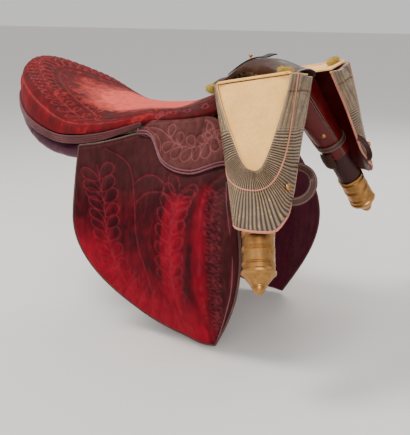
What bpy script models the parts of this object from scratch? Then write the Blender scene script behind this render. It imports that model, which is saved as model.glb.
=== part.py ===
"""Military saddle: a dished quilted seat on a wooden tree, two hanging quilted flaps under short
skirts, stuffed panels below, and a pair of brass tipped holsters under braided covers in front.

Metres. +X is forward, +Y the horse's left, +Z up. The origin lies on the middle line below the
lowest part of the seat, where the saddle bears on the back that carries it.
"""

import math

import bmesh
import bpy
import numpy as np
from mathutils import Matrix, Vector

# Clearances
GAP = 0.0003
LAYER_GAP = 0.0008

# Seat: reach from the seat's centre, edge height and crest height at six places round the rim
SEAT_CENTRE_X = -0.020
SEAT_LOW_Z = 0.038
POMMEL_REACH = 0.216
POMMEL_EDGE_Z = 0.076
POMMEL_CREST_Z = 0.086
SHOULDER_REACH = 0.197
SHOULDER_EDGE_Z = 0.040
SHOULDER_CREST_Z = 0.051
WAIST_REACH = 0.126
WAIST_EDGE_Z = 0.022
WAIST_CREST_Z = 0.031
HIP_REACH = 0.202
HIP_EDGE_Z = -0.009
HIP_CREST_Z = 0.020
CANTLE_CORNER_REACH = 0.272
CANTLE_CORNER_EDGE_Z = 0.022
CANTLE_CORNER_CREST_Z = 0.082
CANTLE_REACH = 0.330
CANTLE_EDGE_Z = 0.068
CANTLE_CREST_Z = 0.127
SEAT_THICKNESS = 0.016
SEAT_QUILT_DEPTH = 0.0022
SEAT_LOBES = 26
CREST_SHARE = 0.86

# Beaded band under the edge of the cantle
BAND_HEIGHT = 0.016
BAND_START = 72.0
BAND_STEPS = 34
BAND_DEPTH = 0.009
BAND_BEADS = 3

# Side surface that the flap follows
FLAP_BASE_Z = -0.390
FLAP_BASE_HALF_FRONT = 0.158
FLAP_BULGE_FRONT = 0.067
FLAP_BASE_HALF_REAR = 0.140
FLAP_BULGE_REAR = 0.036
FLAP_RIDGE = 0.009
FLAP_RIDGE_X = 0.178
FLAP_RIDGE_WIDTH = 0.030

# Flap
FLAP_THICKNESS = 0.004
FLAP_REAR_X = -0.094
FLAP_TOP_Z = -0.004
FLAP_FRONT_TOP_X = 0.205
FLAP_REAR_CORNER_Z = -0.165
FLAP_LENGTH = 0.220
FLAP_TIP_X = 0.214
FLAP_FRONT_BULGE = 0.066
FLAP_COLUMNS = 20
FLAP_LOBE = 0.0290
FLAP_QUILT_DEPTH = 0.0020

# Skirt over the top of the flap
SKIRT_THICKNESS = 0.004
SKIRT_REAR_X = 0.018
SKIRT_REAR_LOW_Z = -0.001
SKIRT_FRONT_LOW_Z = -0.040
SKIRT_GAP = 0.0018
SKIRT_FRONT_X = 0.214
SKIRT_LOWEST_Z = -0.060
SKIRT_COLUMNS = 16
SKIRT_ROWS = 7
SKIRT_QUILT_DEPTH = 0.0016

# Tree
TREE_THICKNESS = 0.012
TREE_INNER_SHARE = 0.42
TREE_OUTER_SHARE = 0.82
TREE_DROP = SEAT_THICKNESS + 0.0016
TREE_LAP = 0.25
CANTLE_ARCH_SHARE = 0.62
POMMEL_ARCH_SHARE = 0.56
HEAD_PLATE_THICKNESS = 0.004
HEAD_PLATE_WIDTH = 0.022
HEAD_PLATE_SHARE = 0.6852
WEBBING_WIDTH = 0.064
WEBBING_THICKNESS = 0.003

# Panels
GULLET_HALF = 0.036
PANEL_THICKNESS = 0.036
PANEL_FRONT_X = 0.212
PANEL_REAR_X = -0.336
PANEL_FRONT_LOW_Z = -0.100
PANEL_MIDDLE_LOW_Z = -0.068
PANEL_REAR_LOW_Z = -0.016

# Girth straps
BILLET_WIDTH = 0.032
BILLET_THICKNESS = 0.0035
BILLET_LOW_Z = -0.285
BILLET_TOP_Z = -0.022
BILLET_X = (0.020, 0.068)

# Stirrup bars
BAR_DEGREES = 42.0
BAR_LENGTH = 0.055
BAR_RADIUS = 0.004
BAR_STAND_OFF = 0.012
CATCH_LENGTH = 0.016
CATCH_HALF = 0.0036

# Holsters: mouth, lean and bores
HOLSTER_MOUTH = (0.250, 0.100, 0.088)
HOLSTER_TIP = (0.351, 0.294, -0.208)
HOLSTER_TUBE_RADIUS = 0.0250
HOLSTER_TUBE_WALL = 0.0025
HOLSTER_TUBE_START = 0.100
HOLSTER_SIDES = 16
SLEEVE_WALL = 0.003
SLEEVE_MOUTH_ALONG = 0.036
SLEEVE_MOUTH_ACROSS = 0.044
SLEEVE_MOUTH_SHIFT = 0.012
SLEEVE_LENGTH = 0.190
FERRULE_RADIUS = 0.027
FERRULE_START = 0.262
FERRULE_COLLAR = 0.336
FERRULE_COLLAR_RADIUS = 0.0292
FERRULE_CONE = 0.022

# Keeper round each holster and stuffed pad on its inner side
KEEPER_FROM_END = 0.040
KEEPER_WIDTH = 0.014
KEEPER_THICKNESS = 0.0025
PAD_FROM_END = 0.024
PAD_LENGTH = 0.050
PAD_DEPTH = 0.009
PAD_FIRST_TURN = 70.0
PAD_LAST_TURN = 152.0

# Holster covers
COVER_TOP_Z = 0.128
COVER_TOP_SLOPE = 0.18
COVER_TOP_X = 0.263
COVER_TOP_Y = 0.105
COVER_TOP_ALONG = 0.075
COVER_TOP_ACROSS = 0.046
COVER_HEM_Z = -0.118
COVER_HEM_X = 0.327
COVER_HEM_Y = 0.236
COVER_HEM_ALONG = 0.041
COVER_HEM_ACROSS = 0.043
COVER_THICKNESS = 0.003
COVER_HINGE_DROP = 0.010
COVER_CORNER_RISE = 0.024
LACE_THICKNESS = 0.0016
LACE_GAP = 0.0028
LACE_V_DEPTH = 0.62
LACE_V_SHARE = 0.46
LACE_STEPS = 44
LACE_PLEAT_DEPTH = 0.0008
FRONT_ROLL_RADIUS = 0.0055
FRONT_ROLL_BACK = 0.0250
REAR_ROLL_RADIUS = 0.0075
ROLL_LENGTH = 0.050
LOOP_WIDTH = 0.014
LOOP_THICKNESS = 0.0022
RIGHT_LOOP_REACH = 0.030
LEFT_LOOP_REACH = 0.012
LOOP_LOW = 0.88
LOOP_HIGH = 0.62

# Bridge between the holsters
BRIDGE_TOP_Z = 0.139
BRIDGE_REAR_X = 0.140
BRIDGE_FRONT_X = 0.300
BRIDGE_THICKNESS = 0.0035
BRIDGE_HALF = 0.0612
BRIDGE_LEG_X = 0.256
BRIDGE_LEG_HALF = 0.030
BRIDGE_KNEE = (0.0498, 0.0580)
BRIDGE_FOOT = (0.0672, 0.0260)
BRIDGE_PAD_HALF = 0.042
KNOB_RADIUS = 0.004
KNOB_HEIGHT = 0.008
STRAP_WIDTH = 0.014
STRAP_THICKNESS = 0.0025
STRAP_START = (0.176, -0.050)
STRAP_END = (0.226, 0.030)
STRAP_LIFT = 0.006

SIDES = (("right", -1.0), ("left", 1.0))


def clear_scene():
    for thing in list(bpy.data.objects):
        bpy.data.objects.remove(thing, do_unlink=True)
    for mesh in list(bpy.data.meshes):
        bpy.data.meshes.remove(mesh)


# Materials

def finish(name, colour, roughness, metallic=0.0):
    material = bpy.data.materials.get(name)
    if material:
        return material
    material = bpy.data.materials.new(name)
    material.use_nodes = True
    shader = material.node_tree.nodes["Principled BSDF"]
    shader.inputs["Base Color"].default_value = (*colour, 1.0)
    shader.inputs["Roughness"].default_value = roughness
    shader.inputs["Metallic"].default_value = metallic
    return material


def velvet(name):
    return finish(name + "_velvet", (0.22, 0.02, 0.03), 0.85)


def dark_leather(name):
    return finish(name + "_leather", (0.06, 0.025, 0.022), 0.5)


def red_leather(name):
    return finish(name + "_red_leather", (0.25, 0.01, 0.015), 0.25)


def felt(name):
    return finish(name + "_felt", (0.72, 0.56, 0.30), 0.95)


def lace(name):
    return finish(name + "_lace", (0.26, 0.24, 0.21), 0.7)


def brass(name):
    return finish(name + "_brass", (0.48, 0.29, 0.10), 0.35, 1.0)


def iron(name):
    return finish(name + "_iron", (0.14, 0.13, 0.12), 0.45, 1.0)


def wood(name):
    return finish(name + "_wood", (0.36, 0.22, 0.11), 0.7)


def linen(name):
    return finish(name + "_linen", (0.55, 0.47, 0.34), 0.9)


# Mesh helpers

def add_object(name, bm, material, smooth=35.0):
    """Closes the mesh into an object with its faces pointing out."""
    bmesh.ops.recalc_face_normals(bm, faces=bm.faces)
    mesh = bpy.data.meshes.new(name)
    bm.to_mesh(mesh)
    bm.free()
    mesh.shade_smooth()
    mesh.set_sharp_from_angle(angle=math.radians(smooth))
    mesh.materials.append(material)
    thing = bpy.data.objects.new(name, mesh)
    bpy.context.scene.collection.objects.link(thing)
    return thing


def sheet_solid(name, outer, inner, material):
    """A sheet with a wall: two grids of the same layout, joined round their shared border.

    Neighbours that fall on one point are welded, so a column may end early.
    """
    bm = bmesh.new()
    index = {}
    skins = []
    keys = []
    for i, column in enumerate(outer):
        for j, point in enumerate(column):
            key = tuple(round(c * 1e6) for c in point)
            keys.append(key)
            index.setdefault(key, (i, j))
    for grid in (outer, inner):
        made = {}
        for key, (i, j) in index.items():
            made[key] = bm.verts.new(grid[i][j])
        skins.append(made)
    rows = len(outer[0])
    edge_use = {}
    for i in range(len(outer) - 1):
        for j in range(rows - 1):
            corners = (i * rows + j, (i + 1) * rows + j, (i + 1) * rows + j + 1, i * rows + j + 1)
            loop = []
            for c in corners:
                if keys[c] not in loop:
                    loop.append(keys[c])
            if len(loop) < 3:
                continue
            bm.faces.new([skins[0][k] for k in loop])
            bm.faces.new([skins[1][k] for k in reversed(loop)])
            for a, b in zip(loop, loop[1:] + loop[:1]):
                edge_use.setdefault(frozenset((a, b)), []).append((a, b))
    for uses in edge_use.values():
        if len(uses) == 1:
            a, b = uses[0]
            bm.faces.new((skins[0][b], skins[0][a], skins[1][a], skins[1][b]))
    return add_object(name, bm, material)


def loft(name, loops, material, closed=False, smooth=35.0):
    """Skins a run of loops with the same number of points, and caps its ends."""
    bm = bmesh.new()
    rings = [[bm.verts.new(p) for p in loop] for loop in loops]
    pairs = list(zip(rings, rings[1:]))
    if closed:
        pairs.append((rings[-1], rings[0]))
    for low, high in pairs:
        count = len(low)
        for k in range(count):
            m = (k + 1) % count
            bm.faces.new((low[k], low[m], high[m], high[k]))
    if not closed:
        bm.faces.new(list(reversed(rings[0])))
        bm.faces.new(rings[-1])
    return add_object(name, bm, material, smooth)


def tube(name, points, radius, material, sides=8):
    """A round bar along a path."""
    loops = []
    count = len(points)
    lead = None
    for k, point in enumerate(points):
        run = (points[min(k + 1, count - 1)] - points[max(k - 1, 0)]).normalized()
        if lead is None:
            lead = run.orthogonal().normalized()
        lead = (lead - run * lead.dot(run)).normalized()
        other = run.cross(lead)
        ring = []
        for s in range(sides):
            turn = 2 * math.pi * s / sides
            ring.append(point + (lead * math.cos(turn) + other * math.sin(turn)) * radius)
        loops.append(ring)
    return loft(name, loops, material, smooth=50.0)


def hermite(keys, x):
    """Smooth curve through (place, value...) keys, level at both ends."""
    places = [k[0] for k in keys]
    x = min(max(x, places[0]), places[-1])
    k = max(i for i in range(len(keys) - 1) if places[i] <= x)
    a, b = keys[k], keys[k + 1]
    span = b[0] - a[0]
    t = (x - a[0]) / span
    values = []
    for n in range(1, len(a)):
        slope_a = slope_at(keys, k, n) * span
        slope_b = slope_at(keys, k + 1, n) * span
        h = t * t * (3 - 2 * t)
        value = a[n] * (1 - h) + b[n] * h
        value += slope_a * t * (1 - t) ** 2 - slope_b * t * t * (1 - t)
        values.append(value)
    return values


def slope_at(keys, k, n):
    if k == 0 or k == len(keys) - 1:
        return 0.0
    return (keys[k + 1][n] - keys[k - 1][n]) / (keys[k + 1][0] - keys[k - 1][0])


def ease(t):
    t = min(max(t, 0.0), 1.0)
    return t * t * (3 - 2 * t)


def mix(a, b, t):
    return a + (b - a) * t


def smooth_path(points, steps):
    """Points along a smooth curve through the given ones."""
    keys = [(i, *p) for i, p in enumerate(points)]
    out = []
    for s in range(steps):
        place = (len(points) - 1) * s / (steps - 1)
        k = min(int(place), len(points) - 2)
        t = place - k
        before = Vector(keys[max(k - 1, 0)][1:])
        a = Vector(keys[k][1:])
        b = Vector(keys[k + 1][1:])
        after = Vector(keys[min(k + 2, len(points) - 1)][1:])
        bend_a = (b - before) / 2
        bend_b = (after - a) / 2
        h = t * t * (3 - 2 * t)
        out.append(a.lerp(b, h) + bend_a * t * (1 - t) ** 2 - bend_b * t * t * (1 - t))
    return out


# Seat surface, in turns round the seat's centre

RIM = (
    (0.0, POMMEL_REACH, POMMEL_EDGE_Z, POMMEL_CREST_Z),
    (31.0, SHOULDER_REACH, SHOULDER_EDGE_Z, SHOULDER_CREST_Z),
    (69.0, WAIST_REACH, WAIST_EDGE_Z, WAIST_CREST_Z),
    (126.0, HIP_REACH, HIP_EDGE_Z, HIP_CREST_Z),
    (153.0, CANTLE_CORNER_REACH, CANTLE_CORNER_EDGE_Z, CANTLE_CORNER_CREST_Z),
    (180.0, CANTLE_REACH, CANTLE_EDGE_Z, CANTLE_CREST_Z),
)


def rim(degrees):
    """Reach, edge height and crest height at an angle from straight ahead."""
    return hermite(RIM, abs(degrees))


def seat_height(degrees, share):
    """Height of the seat's upper face at a share of the way from its centre to its edge."""
    edge, crest = rim(degrees)[1:]
    if share <= CREST_SHARE:
        s = share / CREST_SHARE
        bowl = s ** 2.1
        return mix(SEAT_LOW_Z, crest, bowl)
    s = (share - CREST_SHARE) / (1 - CREST_SHARE)
    return mix(edge, crest, math.sqrt(max(0.0, 1 - s ** 2.4)))


def seat_point(degrees, share, drop=0.0):
    reach = rim(degrees)[0]
    turn = math.radians(degrees)
    x = SEAT_CENTRE_X + reach * share * math.cos(turn)
    y = reach * share * math.sin(turn)
    return Vector((x, y, seat_height(degrees, share) - drop))


def seat_top(x, y):
    """Height of the seat's upper face over a point of the plan."""
    degrees = math.degrees(math.atan2(abs(y), x - SEAT_CENTRE_X))
    share = math.hypot(y, x - SEAT_CENTRE_X) / rim(degrees)[0]
    return seat_height(degrees, min(share, 1.0))


def tree_under(x, y):
    """Height of the tree's lower face over a point of the plan."""
    return seat_top(x, y) - TREE_DROP - TREE_THICKNESS


EDGE_TABLE = []
for step in range(0, 121):
    turned = 30.0 + step
    place = seat_point(turned, 1.0)
    EDGE_TABLE.append((place.x, place.y, place.z))
EDGE_TABLE.sort()
EDGE_X = [row[0] for row in EDGE_TABLE]
EDGE_Y = [row[1] for row in EDGE_TABLE]
EDGE_Z = [row[2] for row in EDGE_TABLE]


def edge_half(x):
    return float(np.interp(x, EDGE_X, EDGE_Y))


def edge_height(x):
    return float(np.interp(x, EDGE_X, EDGE_Z))


def side_half(x, z):
    """Half width of the flap's outer face over its upright plan."""
    top_z = edge_height(x)
    top = edge_half(x) + LAYER_GAP
    w = (top_z - z) / (top_z - FLAP_BASE_Z)
    w = min(max(w, 0.0), 1.05)
    swell = math.sin(math.pi * min(w, 1.0) ** 1.1)
    forward = ease((x - FLAP_REAR_X) / (FLAP_RIDGE_X - FLAP_REAR_X))
    base = mix(FLAP_BASE_HALF_REAR, FLAP_BASE_HALF_FRONT, forward)
    bulge = mix(FLAP_BULGE_REAR, FLAP_BULGE_FRONT, forward)
    ridge = FLAP_RIDGE * math.exp(-((x - FLAP_RIDGE_X) / FLAP_RIDGE_WIDTH) ** 2) * ease(w * 4)
    return mix(top, base, w) + bulge * swell + ridge


def on_side(x, z, out, side):
    """A point on the side surface, moved out from it along its slope."""
    step = 0.002
    here = side_half(x, z)
    slope_z = (side_half(x, z - step) - side_half(x, z + step)) / (2 * step)
    slope_x = (side_half(x + step, z) - side_half(x - step, z)) / (2 * step)
    facing = Vector((-slope_x, 1.0, slope_z)).normalized()
    point = Vector((x, here, z)) + facing * out
    return Vector((point.x, point.y * side, point.z))


# Seat and its band

def seat_lobes(degrees, share):
    """Sewn feather lobes round the border of the seat."""
    fade = ease((share - 0.45) / 0.1) * (1 - ease((share - 0.80) / 0.06))
    turn = abs(math.sin(math.radians(degrees) * SEAT_LOBES / 2))
    return SEAT_QUILT_DEPTH * fade * (1 - turn)


def make_seat():
    shares = (0.16, 0.32, 0.46, 0.58, 0.70, 0.80, 0.86, 0.91, 0.95, 0.98, 1.0)
    angles = [360.0 * k / (2 * SEAT_LOBES) for k in range(2 * SEAT_LOBES)]
    bm = bmesh.new()
    top_rings = []
    for share in shares:
        ring = []
        for angle in angles:
            turned = angle if angle <= 180 else angle - 360
            point = seat_point(turned, share, seat_lobes(angle, share))
            ring.append(bm.verts.new(point))
        top_rings.append(ring)
    under_shares = (0.94, 0.82, 0.66, 0.46, 0.24)
    under_rings = []
    for share in under_shares:
        ring = []
        for angle in angles:
            turned = angle if angle <= 180 else angle - 360
            point = seat_point(turned, share, SEAT_THICKNESS)
            if share > CREST_SHARE:
                edge = rim(turned)[1]
                point.z = min(edge + 0.003, point.z + SEAT_THICKNESS - 0.008)
            ring.append(bm.verts.new(point))
        under_rings.append(ring)
    top_pole = bm.verts.new((SEAT_CENTRE_X, 0, SEAT_LOW_Z))
    under_pole = bm.verts.new((SEAT_CENTRE_X, 0, SEAT_LOW_Z - SEAT_THICKNESS))
    chain = [top_rings[k] for k in range(len(top_rings))] + under_rings
    count = len(angles)
    for low, high in zip(chain, chain[1:]):
        for k in range(count):
            m = (k + 1) % count
            bm.faces.new((low[k], low[m], high[m], high[k]))
    for k in range(count):
        m = (k + 1) % count
        bm.faces.new((top_pole, chain[0][m], chain[0][k]))
        bm.faces.new((under_pole, chain[-1][k], chain[-1][m]))
    return add_object("seat_cushion", bm, velvet("seat"))


def make_cantle_band():
    """Beaded band sewn under the seat's edge, from one waist round the cantle to the other."""
    start = BAND_START
    steps = BAND_STEPS
    loops = []
    for k in range(steps + 1):
        angle = start + (360 - 2 * start) * k / steps
        turned = angle if angle <= 180 else angle - 360
        edge = seat_point(turned, 1.0)
        centre = Vector((SEAT_CENTRE_X, 0, edge.z))
        outward = (edge - centre).normalized()
        fade = ease(min(k, steps - k) / 6)
        height = mix(0.45, 1.0, fade) * BAND_HEIGHT
        top = edge.z - LAYER_GAP
        loop = []
        bulges = []
        for bead in range(BAND_BEADS):
            bulges.append((bead + 0.0, 0.0))
            bulges.append((bead + 0.5, 0.0022))
        bulges.append((BAND_BEADS, 0.0))
        for down, proud in bulges:
            point = edge + outward * (proud - 0.001)
            point.z = top - height * down / BAND_BEADS
            loop.append(point)
        for down in (BAND_BEADS, 0.0):
            point = edge - outward * BAND_DEPTH
            point.z = top - height * down / BAND_BEADS
            loop.append(point)
        loops.append(loop)
    return loft("cantle_band", loops, velvet("band"))


# Tree under the seat

def tree_patch(name, first, last, inner, outer, drop, thickness, steps, material):
    """A board that follows the under side of the seat between two angles."""
    loops = []
    for k in range(steps + 1):
        angle = mix(first, last, k / steps)
        turned = angle if angle <= 180 else angle - 360
        loop = []
        shares = [mix(inner, outer, n / 4) for n in range(5)]
        for share in shares:
            loop.append(seat_point(turned, share, drop))
        for share in reversed(shares):
            loop.append(seat_point(turned, share, drop + thickness))
        loops.append(loop)
    return loft(name, loops, material)


def make_tree():
    tree_patch(
        "tree_cantle_arch", 118.0, 242.0, CANTLE_ARCH_SHARE, TREE_OUTER_SHARE, TREE_DROP,
        TREE_THICKNESS, 18,
        wood("cantle_arch"),
    )
    tree_patch(
        "tree_pommel_arch", -34.0, 34.0, POMMEL_ARCH_SHARE, TREE_OUTER_SHARE, TREE_DROP,
        TREE_THICKNESS, 12,
        wood("pommel_arch"),
    )
    for name, side in SIDES:
        first = 34.0 + TREE_LAP
        last = 118.0 - TREE_LAP
        tree_patch(
            name + "_tree_bar", side * first, side * last, TREE_INNER_SHARE, TREE_OUTER_SHARE,
            TREE_DROP, TREE_THICKNESS, 14, wood("bar"),
        )


def make_webbing():
    """Taut web under the boards of both arches that rises to the seat between them."""
    rear = SEAT_CENTRE_X - CANTLE_REACH * CANTLE_ARCH_SHARE
    front = SEAT_CENTRE_X + POMMEL_REACH * POMMEL_ARCH_SHARE
    places = [rear - 0.022, rear - 0.010, rear + 0.002, rear + 0.012, rear + 0.024]
    places += [mix(rear + 0.034, front - 0.034, k / 8) for k in range(9)]
    places += [front - 0.024, front - 0.012, front - 0.002, front + 0.008, front + 0.016]
    outer = []
    inner = []
    for x in places:
        inside = min(x - rear, front - x)
        sag = mix(TREE_THICKNESS + LAYER_GAP, GAP * 2, ease((inside - 0.008) / 0.024))
        half = min(WEBBING_WIDTH / 2, tree_inner_half(x) - 0.001)
        top = []
        bottom = []
        for n in range(4):
            y = mix(-half, half, n / 3)
            z = seat_top(x, y) - TREE_DROP - sag
            top.append(Vector((x, y, z)))
            bottom.append(Vector((x, y, z - WEBBING_THICKNESS)))
        outer.append(top)
        inner.append(bottom)
    return sheet_solid("seat_webbing", outer, inner, linen("webbing"))


def tree_inner_half(x):
    """Half of the space between the two tree bars."""
    halves = []
    for step in range(34, 119, 2):
        point = seat_point(step, TREE_INNER_SHARE)
        halves.append((point.x, point.y))
    halves.sort()
    return float(np.interp(x, [h[0] for h in halves], [h[1] for h in halves]))


def make_head_plate():
    """Iron plate across the front of the tree, under the pommel arch."""
    loops = []
    for k in range(13):
        y = mix(-0.088, 0.088, k / 12)
        rear = SEAT_CENTRE_X + POMMEL_REACH * HEAD_PLATE_SHARE
        front = rear + HEAD_PLATE_WIDTH
        high = tree_under(rear, y) - LAYER_GAP
        low = min(high, tree_under(front, y) - LAYER_GAP)
        loops.append([
            Vector((rear, y, high)),
            Vector((front, y, low)),
            Vector((front, y, low - HEAD_PLATE_THICKNESS)),
            Vector((rear, y, high - HEAD_PLATE_THICKNESS)),
        ])
    return loft("tree_head_plate", loops, iron("head_plate"))


# Panels

def panel_low(x):
    """Height of the panel's outer lower edge along the saddle."""
    keys = (
        (PANEL_REAR_X, PANEL_REAR_LOW_Z),
        (PANEL_REAR_X * 0.55, PANEL_MIDDLE_LOW_Z + 0.008),
        (PANEL_REAR_X * 0.25, PANEL_MIDDLE_LOW_Z),
        (PANEL_FRONT_X * 0.55, PANEL_FRONT_LOW_Z),
        (PANEL_FRONT_X, PANEL_FRONT_LOW_Z + 0.010),
    )
    return hermite(keys, x)[0]


def panel_section(x, side, scale):
    """One slice of a stuffed panel, slanted from the gullet down to the flap."""
    thick = PANEL_THICKNESS / 2
    inner_z = tree_under(min(x, 0.17), GULLET_HALF + 0.02) - 0.006 - thick
    low_z = panel_low(x) + PANEL_THICKNESS * 0.42
    cover = FLAP_THICKNESS + BILLET_THICKNESS + 4 * LAYER_GAP
    blend = ease((x - FLAP_REAR_X + 0.04) / 0.05)
    half, height = edge_wide(x)
    under_band = height - BAND_HEIGHT - 5 * LAYER_GAP
    outer_y = mix(half, side_half(x, low_z) - cover, blend)
    inner = Vector((x, GULLET_HALF, inner_z))
    outer = Vector((x, outer_y, low_z))
    middle = (inner + outer) / 2
    run = (outer - inner) / 2
    length = run.length
    along = run / length
    over = Vector((0, -along.z, along.y))
    loop = []
    for k in range(14):
        turn = 2 * math.pi * k / 14
        c = math.copysign(abs(math.cos(turn)) ** 0.75, math.cos(turn))
        s = math.copysign(abs(math.sin(turn)) ** 0.75, math.sin(turn))
        point = middle + along * (length * c * mix(0.5, 1.0, scale)) + over * (thick * s * scale)
        if x > FLAP_REAR_X - 0.03:
            point.y = min(point.y, side_half(x, min(point.z, edge_height(x))) - cover)
        if x < 0 and point.y > half - 2.4 * BAND_DEPTH:
            point.z = min(point.z, under_band)
        loop.append(Vector((point.x, point.y * side, point.z)))
    return loop


def edge_wide(x):
    """Half width and height of the seat's edge at a place along it, also behind the hips."""
    half = 0.0
    height = CANTLE_EDGE_Z
    for step in range(30, 181, 2):
        a = seat_point(step, 1.0)
        b = seat_point(min(step + 2, 180), 1.0)
        if (a.x - x) * (b.x - x) <= 0 and a.x != b.x:
            t = (x - a.x) / (b.x - a.x)
            if mix(a.y, b.y, t) > half:
                half = mix(a.y, b.y, t)
                height = mix(a.z, b.z, t)
    return half, height


def make_panels():
    for name, side in SIDES:
        loops = []
        for k in range(20):
            t = k / 19
            x = mix(PANEL_REAR_X, PANEL_FRONT_X, t)
            end = min(t, 1 - t) * 8
            scale = math.sqrt(max(0.0, 1 - (1 - min(end, 1.0)) ** 2)) * 0.7 + 0.3
            loops.append(panel_section(x, side, scale))
        loft(name + "_panel", loops, finish("panel_leather", (0.10, 0.02, 0.035), 0.6))


# Flaps

def flap_plan(u, w):
    """Upright plan of the flap: u runs from the rear edge to the front, w from the top down."""
    top_x = mix(FLAP_REAR_X, FLAP_FRONT_TOP_X, u)
    under_band = edge_height(top_x) - BAND_HEIGHT - SKIRT_GAP * 2
    top_z = mix(under_band, FLAP_TOP_Z, ease((top_x - SKIRT_REAR_X + 0.012) / 0.03))
    turn = math.radians(88) * math.sqrt(u)
    low_x = mix(FLAP_TIP_X, FLAP_REAR_X - 0.006, math.cos(turn))
    low_z = FLAP_REAR_CORNER_Z - FLAP_LENGTH * math.sin(turn)
    x = mix(top_x, low_x, w)
    z = mix(top_z, low_z, w)
    x += FLAP_FRONT_BULGE * u ** 6 * math.sin(math.pi * w ** 1.1)
    return x, z


FRONDS = (4, 14, 20)
FROND_REACH = (4, 4, 2)
SEAM_COLUMNS = (9, 18, 21)


def nearest_frond(i):
    spans = [abs(i - m) for m in FRONDS]
    k = spans.index(min(spans))
    return spans[k], FROND_REACH[k]


def flap_grid(side, out):
    columns = []
    rows = int(2 * 0.40 / FLAP_LOBE) + 2
    for i in range(FLAP_COLUMNS + 1):
        u = i / FLAP_COLUMNS
        fine = [flap_plan(u, s / 60) for s in range(61)]
        lengths = [0.0]
        for a, b in zip(fine, fine[1:]):
            lengths.append(lengths[-1] + math.hypot(b[0] - a[0], b[1] - a[1]))
        total = lengths[-1]
        away, reach = nearest_frond(i)
        lift = min(away, reach) * FLAP_LOBE * 0.25
        column = []
        for j in range(rows):
            run = j * FLAP_LOBE / 2 - lift
            run = min(max(run, 0.0), total)
            if total - run < FLAP_LOBE * 0.2:
                run = total
            w = float(np.interp(run, lengths, [s / 60 for s in range(61)]))
            x, z = flap_plan(u, w)
            depth = flap_quilt(i, j, run, total, z)
            column.append(on_side(x, z, out - (depth if out > -FLAP_THICKNESS / 2 else 0.0), side))
        columns.append(column)
    return columns


def flap_quilt(i, j, run, total, z):
    """Depth of the sewn line at a point of the flap's grid."""
    if run <= 0 or run >= total or z > SKIRT_LOWEST_Z + 0.01:
        return 0.0
    if i in (0, FLAP_COLUMNS):
        return 0.0
    if i in FRONDS or i in SEAM_COLUMNS:
        return FLAP_QUILT_DEPTH
    away, reach = nearest_frond(i)
    if away >= reach:
        return FLAP_QUILT_DEPTH * 0.4
    return FLAP_QUILT_DEPTH * (0.9 if j % 2 == 0 else 0.0)


def make_flaps():
    for name, side in SIDES:
        sheet_solid(
            name + "_flap", flap_grid(side, 0.0), flap_grid(side, -FLAP_THICKNESS),
            velvet("flap"),
        )


# Skirts

def skirt_low(x):
    """Lower edge of the skirt: level at first, then a deep scallop that rises again in front."""
    keys = (
        (SKIRT_REAR_X, SKIRT_REAR_LOW_Z),
        (SKIRT_REAR_X + 0.034, SKIRT_REAR_LOW_Z - 0.005),
        (SKIRT_REAR_X + 0.072, mix(SKIRT_REAR_LOW_Z, SKIRT_LOWEST_Z, 0.78)),
        (SKIRT_REAR_X + 0.132, SKIRT_LOWEST_Z),
        (SKIRT_FRONT_X, SKIRT_FRONT_LOW_Z),
    )
    return hermite(keys, x)[0]


def skirt_grid(side, out):
    columns = []
    raised = out > SKIRT_GAP
    for i in range(SKIRT_COLUMNS + 1):
        x = mix(SKIRT_REAR_X, SKIRT_FRONT_X, i / SKIRT_COLUMNS)
        top = edge_height(min(x, 0.146)) - SKIRT_GAP
        top -= 0.030 * ease((x - 0.165) / 0.05)
        top -= (BAND_HEIGHT + LAYER_GAP) * 0.75 * (1 - ease((x - SKIRT_REAR_X) / 0.03))
        low = skirt_low(x)
        column = []
        for j in range(SKIRT_ROWS + 1):
            z = mix(top, low, j / SKIRT_ROWS)
            depth = 0.0
            if raised and 0 < i < SKIRT_COLUMNS and 0 < j < SKIRT_ROWS:
                depth = SKIRT_QUILT_DEPTH * skirt_seam(i, j)
            column.append(on_side(x, z, out - depth, side))
        columns.append(column)
    return columns


def skirt_seam(i, j):
    """One on a sewn line of the skirt, nothing on a stuffed lobe."""
    if j == 4:
        return 1
    return i % 2 if j > 4 else (i + 1) % 2


def make_skirts():
    for name, side in SIDES:
        sheet_solid(
            name + "_skirt",
            skirt_grid(side, SKIRT_GAP + SKIRT_THICKNESS), skirt_grid(side, SKIRT_GAP),
            velvet("skirt"),
        )


# Girth straps and stirrup bars

def make_billets():
    for name, side in SIDES:
        for label, x in zip(("rear", "front"), BILLET_X):
            outer = []
            inner = []
            out = -FLAP_THICKNESS - LAYER_GAP
            for i in range(4):
                across = x + BILLET_WIDTH * (i / 3 - 0.5)
                face = []
                back = []
                for j in range(13):
                    w = j / 12
                    z = mix(BILLET_TOP_Z, BILLET_LOW_Z, w)
                    point = 0.25 * BILLET_WIDTH * (1 if j == 12 and i in (0, 3) else 0)
                    place = across + (point if i == 0 else -point)
                    face.append(on_side(place, z, out, side))
                    back.append(on_side(place, z, out - BILLET_THICKNESS, side))
                outer.append(face)
                inner.append(back)
            sheet_solid(f"{name}_{label}_billet", outer, inner, dark_leather("billet"))


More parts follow.
